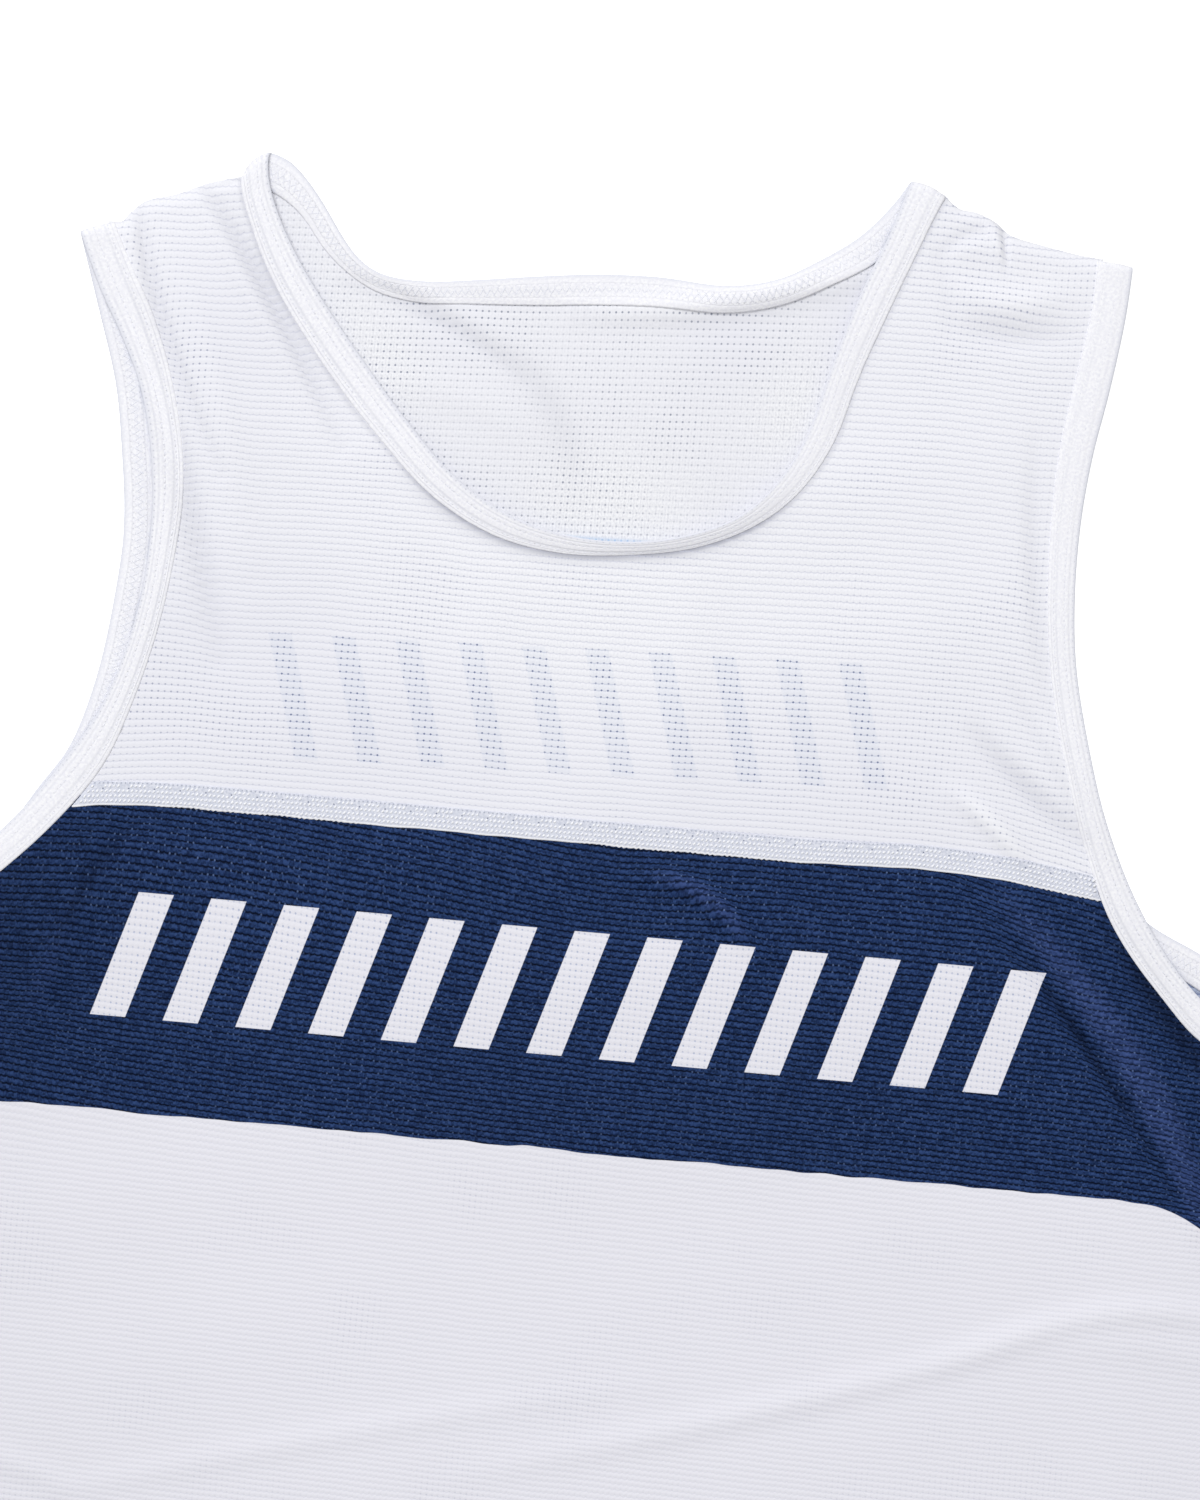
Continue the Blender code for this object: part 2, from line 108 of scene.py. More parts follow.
neckFront = (      # left shoulder, down round the front, right shoulder
    (-124.7, 334.9, -133.4, 324.3, 0),
    (-124.2, 326, -131.9, 318, 1.5),
    (-120.6, 316, -129.3, 311.5, 2),
    (-114, 303.5, -123.2, 298, 2.5),
    (-104.4, 289.4, -113.9, 282.9, 2.5),
    (-89, 270, -98.2, 262.6, 3),
    (-72, 250.4, -80.1, 242.9, 4),
    (-54, 232.5, -60.8, 225, 5),
    (-35, 221, -38.6, 213.3, 6),
    (-13, 215.3, -14.6, 209.2, 7),
    (9, 215.3, 9.8, 211, 7.5),
    (27, 219.3, 30.3, 215.4, 7.5),
    (43, 227, 48.2, 224, 7),
    (54.6, 239.5, 62, 236.3, 6),
    (63.3, 257, 72.3, 254.2, 4.5),
    (69.3, 280.2, 79, 277.5, 3.5),
    (76.5, 304.4, 86.8, 299.6, 2.5),
    (84.1, 324.1, 94.6, 320.4, 2),
    (87.4, 334.8, 98.8, 331.4, 1),
    (90.5, 344.5, 102.5, 340, 0),
)
neckBack = (       # right shoulder, round the back neck, left shoulder
    (90.5, 344.5, 102.5, 340, 0),
    (84.5, 335, 92.4, 327.6, 0),
    (74.7, 323.8, 80.8, 315.4, 0.5),
    (61.4, 314.3, 66.2, 306.4, 1.5),
    (47.9, 306.9, 50.6, 298.6, 2.5),
    (31, 303.4, 32, 294.3, 2.5),
    (10, 304.4, 10, 294.2, 2),
    (-11.2, 303.5, -10.5, 293.1, 2),
    (-32.4, 300.9, -31.5, 291.2, 2.5),
    (-52.6, 297.9, -52, 289.8, 3.5),
    (-69, 296, -69.8, 288.8, 5),
    (-82.5, 296.9, -84.4, 291, 6),
    (-91.3, 301.4, -95.3, 296.8, 6),
    (-98, 309, -103.9, 304.2, 4.5),
    (-106.5, 321, -112.4, 314.7, 2),
    (-116, 331.2, -121.6, 320.9, 0.5),
    (-124.7, 334.9, -133.4, 324.3, 0),
)
leftShoulder = (   # shoulder lines run from the armhole to the neck
    (-174.3, 307.1),
    (-170.3, 307.3),
    (-167, 311.2),
    (-162.8, 314.6),
    (-153.7, 317.2),
    (-144.5, 321.2),
    (-133.4, 324.3),
)
rightShoulder = (
    (154.9, 323.4),
    (146.7, 324.2),
    (134.5, 326.2),
    (125.2, 328.3),
    (119.9, 332.2),
    (114.2, 334.6),
    (108, 335.6),
    (102.5, 340),
)
frontSeamLine = (  # lower edge of the chest seam, left to right
    (-178, 109.2),
    (-160, 112),
    (-130, 113.4),
    (-60, 113.4),
    (70, 113.6),
    (112, 114.9),
    (143, 113.4),
    (160, 111.4),
    (184, 108),
)
backSeamLine = (
    (-184, 108.5),
    (-120, 112.5),
    (0, 115.5),
    (120, 118),
    (184, 117.5),
)
outline = {
    "sideX": 250,          # half width at the hem
    "waistPull": 4,        # how far the sides draw in above it
    "pitX": 247.5,
    "pitY": 59,
    "hemY": -344.5,
    "hemBow": 5,           # how far the hem hangs down in the middle
    "hemTurn": 20,         # width of the cloth turned up
    "seamWidth": 7.7,
}

# folds: from x, y, by way of x, y, to x, y, half width, height (below 0 is a trough)
frontFolds = (
    (136, 112, 187, 72, 220, 6, 6.4, 3),  # across the band, right
    (-157, 102, -170, 74, -181, 32, 4.8, 1.5),  # and left
    (188.7, 59, 208.4, 31.2, 221, -4, 4.6, 2.2),
    (21.1, 104.8, 45, 105.8, 60.4, 82, 3.4, 3),  # short one in the band
    (236, -30, 195.3, -15.3, 134.4, -50.3, 4.4, 1.5),  # below the band, right
    (166, -37, 96.4, -66.5, -20, -100, 4.4, 1.3),
    (236, -46, 210, -28, 150, -46, 6, 0.7),
    (-170, -123, -78.6, -93, 40, -64, 4, 0.9),  # below the band, left
    (-182, -107, -165.8, -110.6, -150, -117, 3.5, 1),
    (-215, -200, -90, -165, 60, -170, 7, 1.5),
    (-60, -265, 70, -235, 225, -175, 8, 2),
    (-100, -310, -20, -285, 90, -292, 7, 1.2),
    (120, -130, 180, -150, 232, -140, 6, 1.3),
    (-187, 294, -158, 250, -139, 178, 4, 0.9),  # left strap
    (-152, 312, -132, 262, -116, 190, 17, 2.2),
    (-158, 306, -134, 262, -120, 200, 6, 0.9),
    (-170, 311, -166, 286, -149, 245, 2.4, 1),
    (104, 322, 112, 325, 122, 322, 4.5, 0.7),  # right strap
    (117, 333, 121, 327, 123, 318, 2.2, 1),
    (108, 309, 128, 302, 146, 311, 5, 1.3),
    (122, 142, 136.7, 134, 151, 117, 3.6, 2),  # drag lines to the underarm
    (150, 165, 160, 146, 176, 124, 3.2, 1.8),
)
frontCreases = (
    (-177.1, 296.5, -145.4, 241.1, -126, 165, 4.4, -2.2),  # beside the left armhole
    (-167, 317, -161, 281, -131, 226, 2.4, -1.5),
    (-148, 324, -117, 287, -92, 238, 2.6, -2.1),  # beside the left neck binding
    (-137, 318, -112, 284, -88, 243, 3.6, -0.7),
    (-148, 318, -126, 284, -99, 246, 3.2, 0.9),
    (99, 327.1, 105.5, 312.9, 108, 293.4, 3, -0.4),  # right strap
    (110, 297, 130, 292.5, 150, 298, 4.2, -1.1),
    (120.6, 334, 123.4, 327, 124.6, 318, 1.2, -1.1),
    (102, 320, 109, 329, 121, 331, 2.6, -0.8),
    (127.8, 162, 146.6, 143.9, 169, 125.2, 3.4, -1.9),  # to the right underarm
    (138, 180, 153.1, 154.4, 172.4, 131.5, 2.8, -0.7),
    (139.1, 262, 141, 212.6, 152, 170, 3.4, -0.9),  # beside the right armhole
    (146, 93, 175, 63, 211, 10, 2.2, -2.2),  # either side of the long fold
    (176, 106, 196, 81, 222, 46, 6, -2.1),
    (-146, 112, -166, 92, -172, 60, 4, -1.2),
    (-60, 98, -20, 108, 4, 96, 7, 0.7),
    (62, 102, 80, 94, 92, 76, 5, 0.9),
    (-150, 104, -120, 92, -96, 100, 8, 0.8),
    (-34, 212, -42, 165, -34, 118, 10, 0.5),  # soft upright folds of the yoke
    (32, 208, 26, 160, 30, 120, 10, 0.5),
)
backFolds = (          # in the part that the neck opening shows
    (-18, 291, 34, 294, 82, 314, 4.5, 2.3),  # the edge below the binding
    (-98, 294, -64, 289, -33, 266, 2.2, -1.3),
    (-92, 298, -60, 293, -30, 272, 3.4, 0.8),
    (-46, 277, -17.8, 263.3, -9.8, 227, 5, -0.7),
    (-80, 262, -50, 262, -28, 246, 6, 0.5),
    (10, 262, 30, 248, 34, 226, 7, 0.5),
)
surface = {
    "frontMid": 2.8,
    "backMid": 0.45,
    "backTapeMid": 1.4,
    "backNeckLift": 1.1,
    "bindingBackMid": 0.85,
    "shutMid": 1.25,       # where front and back meet at a shoulder or side
    "shutRoll": 4.5,       # the front rolls down to there within this distance
    "neckLift": 1.1,
    "neckLiftReach": 30,
    "neckLiftCentre": (-14, 300),
    "neckLiftRadius": 92,
    "neckLiftTop": 262,
    "backLiftCentre": (-14, 270),
    "backLiftRadius": 55,
    "puff": 1.4,
    "puffReach": 60,
    "ripple": 0.16,        # height of the unevenness all over the cloth
    "clearance": 0.8,      # the front's middle stays this far above the back's
    "settle": 2.5,         # how sharply it is held there
}


# curves and heights
def smoothPath(rows, places):
    # points at the given row numbers of a smooth curve through rows
    points = np.array(rows, float)
    places = np.asarray(places, float)
    i = np.minimum(places.astype(int), len(points) - 2)
    t = (places - i)[:, None]
    padded = np.vstack((2 * points[0] - points[1], points, 2 * points[-1] - points[-2]))
    p0, p1, p2, p3 = (padded[i + k] for k in range(4))
    m1, m2 = (p2 - p0) / 2, (p3 - p1) / 2
    a, b = 2 * t**3 - 3 * t**2 + 1, t**3 - 2 * t**2 + t
    c, d = -2 * t**3 + 3 * t**2, t**3 - t**2
    return a * p1 + b * m1 + c * p2 + d * m2


def finePath(rows, count):
    return smoothPath(rows, np.linspace(0, len(rows) - 1, count))


def runLength(points):
    # length along a row of points, up to each of them
    return np.concatenate(([0.0], np.cumsum(np.linalg.norm(np.diff(points, axis=0), axis=1))))


def evenPlaces(rows, start, end, steps, columns=slice(0, 2)):
    fine = np.linspace(start, end, 600)
    length = runLength(smoothPath(rows, fine)[:, columns])
    return np.interp(np.linspace(0.0, length[-1], steps + 1), length, fine)


def seamHeight(line, x):
    fine = finePath(line, 400)
    return np.interp(x, fine[:, 0], fine[:, 1])


def crossing(rows, line, rise):
    # row number at which a binding's sewn edge crosses a seam line raised by rise
    fine = np.linspace(0, len(rows) - 1, 800)
    x, y = smoothPath(rows, fine)[:, sewn].T
    above = y - (seamHeight(line, x) + rise)
    change = np.where(np.sign(above[:-1]) != np.sign(above[1:]))[0][0]
    share = above[change] / (above[change] - above[change + 1])
    return fine[change] + share * (fine[change + 1] - fine[change])


def ease(share):
    share = np.clip(share, 0, 1)
    return share * share * (3 - 2 * share)


def foldHeight(x, y, folds):
    # each fold is soft across, and runs out at both ends
    total = np.zeros_like(x)
    along = np.linspace(0.0, 1.0, 33)
    t = along[:, None]
    for fromX, fromY, viaX, viaY, toX, toY, halfWidth, height in folds:
        curve = ((1 - t)**2 * (fromX, fromY) + 2 * t * (1 - t) * (viaX, viaY)
                 + t**2 * (toX, toY))
        gap = np.stack([np.hypot(x - cx, y - cy) for cx, cy in curve])
        fade = np.sin(np.pi * (0.08 + 0.84 * along[gap.argmin(axis=0)]))
        total += height * fade * np.exp(-(gap.min(axis=0) / halfWidth)**2)
    return total


def ripples(x, y):
    # long low waves in a few directions, so that no part of the cloth is quite flat
    waves = ((0.071, 0.043, 0.4), (-0.052, 0.094, 1.9), (0.027, -0.121, 3.1),
             (0.149, 0.031, 5.0), (-0.113, -0.067, 0.9))
    total = sum(np.sin(a * x + b * y + phase) for a, b, phase in waves)
    return surface["ripple"] * total / 2


def frontHeight(x, y):
    s = surface
    toNeck = np.abs(np.hypot(x - s["neckLiftCentre"][0], y - s["neckLiftCentre"][1])
                    - s["neckLiftRadius"])
    neck = (s["neckLift"] * np.exp(-(toNeck / s["neckLiftReach"])**2)
            * ease((s["neckLiftTop"] - y) / s["neckLiftReach"]))
    puff = (s["puff"] * ease((outline["sideX"] - np.abs(x)) / s["puffReach"])
            * ease((outline["pitY"] + s["puffReach"] - y) / s["puffReach"]))
    folds = foldHeight(x, y, frontFolds) + foldHeight(x, y, frontCreases)
    height = s["frontMid"] + neck + puff + folds + ripples(x, y)
    lowest = backHeight(x, y) + s["clearance"]
    return lowest + np.logaddexp(0, (height - lowest) * s["settle"]) / s["settle"]


def backLift(x, y):
    # the back is lifted a little from the floor where the neck opening shows it
    centreX, centreY = surface["backLiftCentre"]
    inNeck = np.exp(-(np.hypot(x - centreX, y - centreY) / surface["backLiftRadius"])**4)
    lift = inNeck * (surface["backNeckLift"] + ripples(x, y)) + foldHeight(x, y, backFolds)
    return np.maximum(lift, 0)


def backHeight(x, y):
    return surface["backMid"] + backLift(x, y)


def bindingBackHeight(x, y):
    return surface["bindingBackMid"] + backLift(x, y)


def lineDistance(x, y, line):
    # distance from each point to a line of points
    gap = np.full(x.shape, 1e9)
    for cx, cy in line:
        gap = np.minimum(gap, np.hypot(x - cx, y - cy))
    return gap


def rollShut(x, y, z, lines):
    # brings the front down to the back along its shoulder or side seams
    gap = np.minimum(*(lineDistance(x, y, line) for line in lines))
    t = np.clip(gap / surface["shutRoll"], 0, 1)
    return surface["shutMid"] + (z - surface["shutMid"]) * np.sqrt(1 - (1 - t)**2)


# the knit's own map: columns of stitches across, ribs upward
frontSlopes = {   # how the ribs lie, in degrees, at each x and y
    "x": (-150, -130, -110, -90, -50, 0, 70, 105, 130, 150, 165),
    "y": (130, 190, 270, 300),
    "slope": ((8.0, 0.5, 1.0, 0.2, -1.0, 0.7, 1.4, -0.5, -1.5, -9.0, -11.0),
              (-3.0, -7.0, 5.0, 0.2, -2.2, 1.0, 2.2, 0.6, -2.4, -6.0, -8.0),
              (3.5, 3.5, 1.5, 2.5, 2.5, 3.5, 3.5, 0.0, -3.0, 1.0, 3.0),
              (3.5, 3.0, 2.0, 2.5, 2.5, 3.5, 2.0, -2.0, -4.0, 6.0, 9.0)),
}
bodySlopes = {
    "x": (-230, -190, -150, -100, -60, -30, -5, 25, 60, 130, 170, 230),
    "y": (-200, -10, 25, 60, 100),
    "slope": ((-2, -2, -2, -2, -2, -2, -2, -2, -2, -2, -2, -3),
              (-2, -1.8, -2, -2.2, -2.2, -2.2, -1.6, -1.8, -1.9, -1.5, -1.8, -3),
              (-6, -6, -5.5, -3, -2.5, -3, -2.5, -1.5, -2.0, -2, -2.5, -5),
              (-2, 0, -2, -4, -3.5, -3, -2.5, -1.5, -1.5, -1.5, -3, -6),
              (8, 6, -1, -6, -6, -9, -7, 2.5, -0.5, -1.5, -9, -15)),
}
bandShears = (    # from x, y to x, y, half width, how far the ribs fall across it
    (134, 110, 219, 8, 9, 4.5),
)
backSlopes = {
    "x": (-140, 0, 140),
    "y": (130, 280),
    "slope": ((0.5, 0.5, 0.5), (3.0, 4.3, 3.6)),
}
bodyMap = {"slopes": bodySlopes, "pitchY": (-60, 0, 100), "pitch": (1.90, 1.96, 2.15),
           "column": 1.90, "bow": 0.6}
knitMaps = {      # pitch of the ribs at each y, and of the columns; bow over the folds
    "frontYoke": {"slopes": frontSlopes, "pitchY": (120, 330), "pitch": (2.17, 2.50),
                  "column": 2.14, "bow": 0.8},
    "backYoke": {"slopes": backSlopes, "pitchY": (120, 330), "pitch": (2.30, 2.42),
                 "column": 2.12, "bow": 0.35},
    "frontBody": {**bodyMap, "shears": bandShears},
    "backBody": bodyMap,
}


def shearFall(x, y, shears):
    # ribs fall across each of these lines, which run out at both ends
    total = np.zeros_like(x)
    for fromX, fromY, toX, toY, halfWidth, fall in shears:
        length = math.hypot(toX - fromX, toY - fromY)
        along = ((x - fromX) * (toX - fromX) + (y - fromY) * (toY - fromY)) / length**2
        across = ((y - fromY) * (toX - fromX) - (x - fromX) * (toY - fromY)) / length
        fade = ease(along / 0.4 + 1) * ease((1 - along) / 0.4 + 1)
        total += fall * fade * ease(0.5 + across / halfWidth / 2)
    return total


def knitPlace(x, y, look, lift):
    slopes = look["slopes"]
    fineX = np.linspace(-260, 260, 131)
    levels = []
    for row in slopes["slope"]:
        tilt = np.tan(np.radians(np.interp(fineX, slopes["x"], row)))
        run = np.concatenate(([0.0], np.cumsum((tilt[1:] + tilt[:-1]) / 2 * np.diff(fineX))))
        run -= np.interp(0.0, fineX, run)
        levels.append(np.interp(x, fineX, run))
    levels = np.stack(levels)
    place = np.clip(np.interp(y, slopes["y"], range(len(levels))), 0, len(levels) - 1.001)
    low = place.astype(int)
    share = place - low
    rise = (np.take_along_axis(levels, low[None], 0)[0] * (1 - share)
            + np.take_along_axis(levels, low[None] + 1, 0)[0] * share)
    level = y - rise - look["bow"] * lift   # ribs bow where a fold lifts the cloth
    level += shearFall(x, y, look.get("shears", ()))
    fineY = np.linspace(-400, 400, 801)
    perMm = 1 / np.interp(fineY, look["pitchY"], look["pitch"])
    ribs = np.concatenate(([0.0], np.cumsum(perMm[:-1])))
    return x / look["column"], np.interp(level, fineY, ribs)


# cloth meshes
def unit(vectors):
    return vectors / np.maximum(np.linalg.norm(vectors, axis=-1, keepdims=True), 1e-9)


def addPiece(name, points, faces, materials):
    # points in mm
    mesh = bpy.data.meshes.new(name)
    mesh.from_pydata((points * mm).tolist(), [], faces)
    for material in materials:
        mesh.materials.append(material)
    mesh.polygons.foreach_set("use_smooth", np.ones(len(faces), bool))
    piece = bpy.data.objects.new(name, mesh)
    bpy.context.scene.collection.objects.link(piece)
    return piece


def makeMesh(name, points, faces, uvs, slots, materials, fields):
    # uvs holds one pair for each face corner, slots one number for each face
    piece = addPiece(name, points, faces.tolist(), materials)
    mesh = piece.data
    mesh.polygons.foreach_set("material_index", np.asarray(slots, np.int32))
    layer = mesh.uv_layers.new(name="knit")
    layer.data.foreach_set("uv", uvs.reshape(-1).astype(np.float32))
    for fieldName, values in fields.items():
        field = mesh.attributes.new(fieldName, "FLOAT", "POINT")
        field.data.foreach_set("value", values.astype(np.float32))
    mesh.update()
    bpy.ops.object.select_all(action="DESELECT")
    piece.select_set(True)
    bpy.context.view_layer.objects.active = piece
    bpy.ops.object.mode_set(mode="EDIT")
    bpy.ops.mesh.select_all(action="SELECT")
    bpy.ops.mesh.normals_make_consistent(inside=False)
    bpy.ops.object.mode_set(mode="OBJECT")
    print(name, "made:", len(mesh.polygons), "faces")
    return piece


def clothShell(name, grid, wall, place, materials, fields):
    # a thin closed wall round a grid of points, with a rounded rim; place is the knit map
    rows, columns = grid.shape[:2]
    normal = unit(np.cross(np.gradient(grid, axis=1), np.gradient(grid, axis=0)))
    normal *= np.sign(normal[..., 2:] + 1e-9)
    half = np.broadcast_to(np.asarray(wall, float) / 2, grid.shape[:2])[..., None]
    index = np.arange(rows * columns).reshape(rows, columns)
    border = np.concatenate((index[0, :-1], index[:-1, -1], index[-1, :0:-1], index[:0:-1, 0]))
    inner = np.concatenate((index[1, :-1], index[:-1, -2], index[-2, :0:-1], index[:0:-1, 1]))
    flat = grid.reshape(-1, 3)
    rimReach = half.reshape(-1, 1)[border] * 0.7   # less than half a wall, so the rim is blunt
    rim = flat[border] + unit(flat[border] - flat[inner]) * rimReach
    points = np.vstack(((grid + normal * half).reshape(-1, 3),
                        (grid - normal * half).reshape(-1, 3), rim))
    upper = np.stack((index[:-1, :-1], index[:-1, 1:], index[1:, 1:], index[1:, :-1]),
                     axis=-1).reshape(-1, 4)
    count, ring = rows * columns, len(border)
    rimIndex = 2 * count + np.arange(ring)
    after = np.roll(np.arange(ring), -1)
    edgeTop = np.stack((border, border[after], rimIndex[after], rimIndex), axis=-1)
    edgeLow = np.stack((rimIndex, rimIndex[after], border[after] + count, border + count),
                       axis=-1)
    faces = np.vstack((upper, upper[:, ::-1] + count, edgeTop, edgeLow))
    slots = np.zeros(len(faces), np.int32)
    if len(materials) > 1:
        slots[len(upper):2 * len(upper)] = 1
    pairs = np.stack(place, axis=-1).reshape(-1, 2)
    pairs = np.vstack((pairs, pairs, pairs[border]))
    fields = {key: np.concatenate((values.ravel(), values.ravel(), values.ravel()[border]))
              for key, values in fields.items()}
    return makeMesh(name, points, faces, pairs[faces], slots, materials, fields)


# shader maths
def linear(red, green, blue):
    # a screen colour, 0 to 255, as the shader's own linear colour
    shares = (red / 255, green / 255, blue / 255)
    return tuple(c / 12.92 if c < 0.04045 else ((c + 0.055) / 1.055)**2.4 for c in shares) + (1.0,)


class Wire:
    # one socket of a material; sums with it add Math nodes
    def __init__(self, finish, socket):
        self.finish = finish
        self.socket = socket

    def maths(self, operation, *others):
        return self.finish.maths(operation, self, *others)

    def __add__(self, other):
        return self.maths("ADD", other)

    def __sub__(self, other):
        return self.maths("SUBTRACT", other)

    def __rsub__(self, other):
        return self.finish.maths("SUBTRACT", other, self)

    def __mul__(self, other):
        return self.maths("MULTIPLY", other)

    def __truediv__(self, other):
        return self.maths("DIVIDE", other)

    def __abs__(self):
        return self.maths("ABSOLUTE")

    __radd__ = __add__
    __rmul__ = __mul__

    def near(self):
        # distance to the nearest whole number
        return abs((self + 0.5).maths("FRACT") - 0.5)

    def step(self, low, high):
        # 0 at low, 1 at high, smooth between
        return self.finish.add("ShaderNodeMapRange", {"interpolation_type": "SMOOTHSTEP"},
                               {"Value": self, "From Min": low, "From Max": high})


class Finish:
    # a material and the nodes added to it
    def __init__(self, name):
        self.material = bpy.data.materials.new(name)
        self.material.use_nodes = True
        self.tree = self.material.node_tree
        self.shader = self.tree.nodes["Principled BSDF"]

    def feed(self, socket, value):
        if isinstance(value, Wire):
            self.tree.links.new(value.socket, socket)
        else:
            socket.default_value = value

    def add(self, kind, settings, values, output=0):
        node = self.tree.nodes.new(kind)
        for key, value in settings.items():
            setattr(node, key, value)
        for key, value in values.items():
            self.feed(node.inputs[key], value)
        return Wire(self, node.outputs[output])

    def maths(self, operation, *values):
        return self.add("ShaderNodeMath", {"operation": operation}, dict(enumerate(values)))

    def map(self):
        return self.add("ShaderNodeUVMap", {"uv_map": "knit"}, {})

    def spot(self):
        # the object's own coordinates
        return self.add("ShaderNodeTexCoord", {}, {}, 3)

    def field(self, name):
        return self.add("ShaderNodeAttribute", {"attribute_name": name}, {}, 2)

    def length(self, vector):
        return self.add("ShaderNodeVectorMath", {"operation": "LENGTH"}, {0: vector}, 1)

    def parts(self, vector):
        node = self.tree.nodes.new("ShaderNodeSeparateXYZ")
        self.feed(node.inputs[0], vector)
        return [Wire(self, socket) for socket in node.outputs]

    def vector(self, x, y, z=0.0):
        return self.add("ShaderNodeCombineXYZ", {}, {0: x, 1: y, 2: z})

    def noise(self, vector, scale, detail=2.0):
        return self.add("ShaderNodeTexNoise", {"noise_dimensions": "3D"},
                        {"Vector": vector, "Scale": scale, "Detail": detail})

    def chance(self, vector):
        # one random number for each whole place
        return self.add("ShaderNodeTexWhiteNoise", {"noise_dimensions": "2D"}, {"Vector": vector})

    def mix(self, share, first, second, blend="MIX"):
        return self.add("ShaderNodeMix", {"data_type": "RGBA", "blend_type": blend},
                        {0: share, 6: first, 7: second}, 2)

    def paint(self, colour, roughness, bump=None, distance=0.0001, **constants):
        self.feed(self.shader.inputs["Base Color"], colour)
        self.feed(self.shader.inputs["Roughness"], roughness)
        for key, value in constants.items():
            self.shader.inputs[key.replace("_", " ")].default_value = value
        if bump is not None:
            normal = self.add("ShaderNodeBump", {}, {"Height": bump, "Distance": distance,
                                                     "Strength": 1.0})
            self.feed(self.shader.inputs["Normal"], normal)
        return self.material


def slantedBars(finish, x, y, bars):
    # mask of a row of slanted bars that follow a slightly sloping line
    level = y - bars["y"] - x * bars["tilt"]
    soft = bars["soft"]
    inHeight = (abs(level) - bars["height"] / 2).step(soft, -soft)
    across = (x - bars["x"] - level * bars["slant"]) / bars["pitch"]
    inRow = abs(across).step(bars["count"] / 2 + 0.01, bars["count"] / 2 - 0.01)
    edge = bars["bar"] / bars["pitch"] / 2
    soft = soft / bars["pitch"]
    place = across if bars["count"] % 2 else across + 0.5
    return place.near().step(edge + soft, edge - soft) * inHeight * inRow


frontBars = {"x": 0.0, "y": 0.063, "tilt": 0.0, "height": 0.042, "bar": 0.0118,
             "pitch": 0.0244, "slant": 0.30, "count": 13, "soft": 0.00012}
backBars = {"x": -0.005, "y": 0.1575, "tilt": 0.038, "height": 0.042, "bar": 0.0078,
            "pitch": 0.0212, "slant": -0.30, "count": 10, "soft": 0.0004}
backTick = {"x": 0.002, "y": 0.2126, "tilt": 0.02, "height": 0.0066, "bar": 0.06,
            "pitch": 0.09, "slant": 0.0, "count": 1, "soft": 0.0006}
frontBand = {"low": 0.0105, "wave": 0.0024, "soft": 0.00012,
             "dip": 0.022, "dipSpan": (0.196, 0.250)}   # its lower edge dips at the right side
backBand = {**frontBand, "low": 0.0150}

white = linear(249, 249.5, 253.5)
lowerWhite = linear(239.5, 239, 247.5)
navy = linear(40, 63, 107)


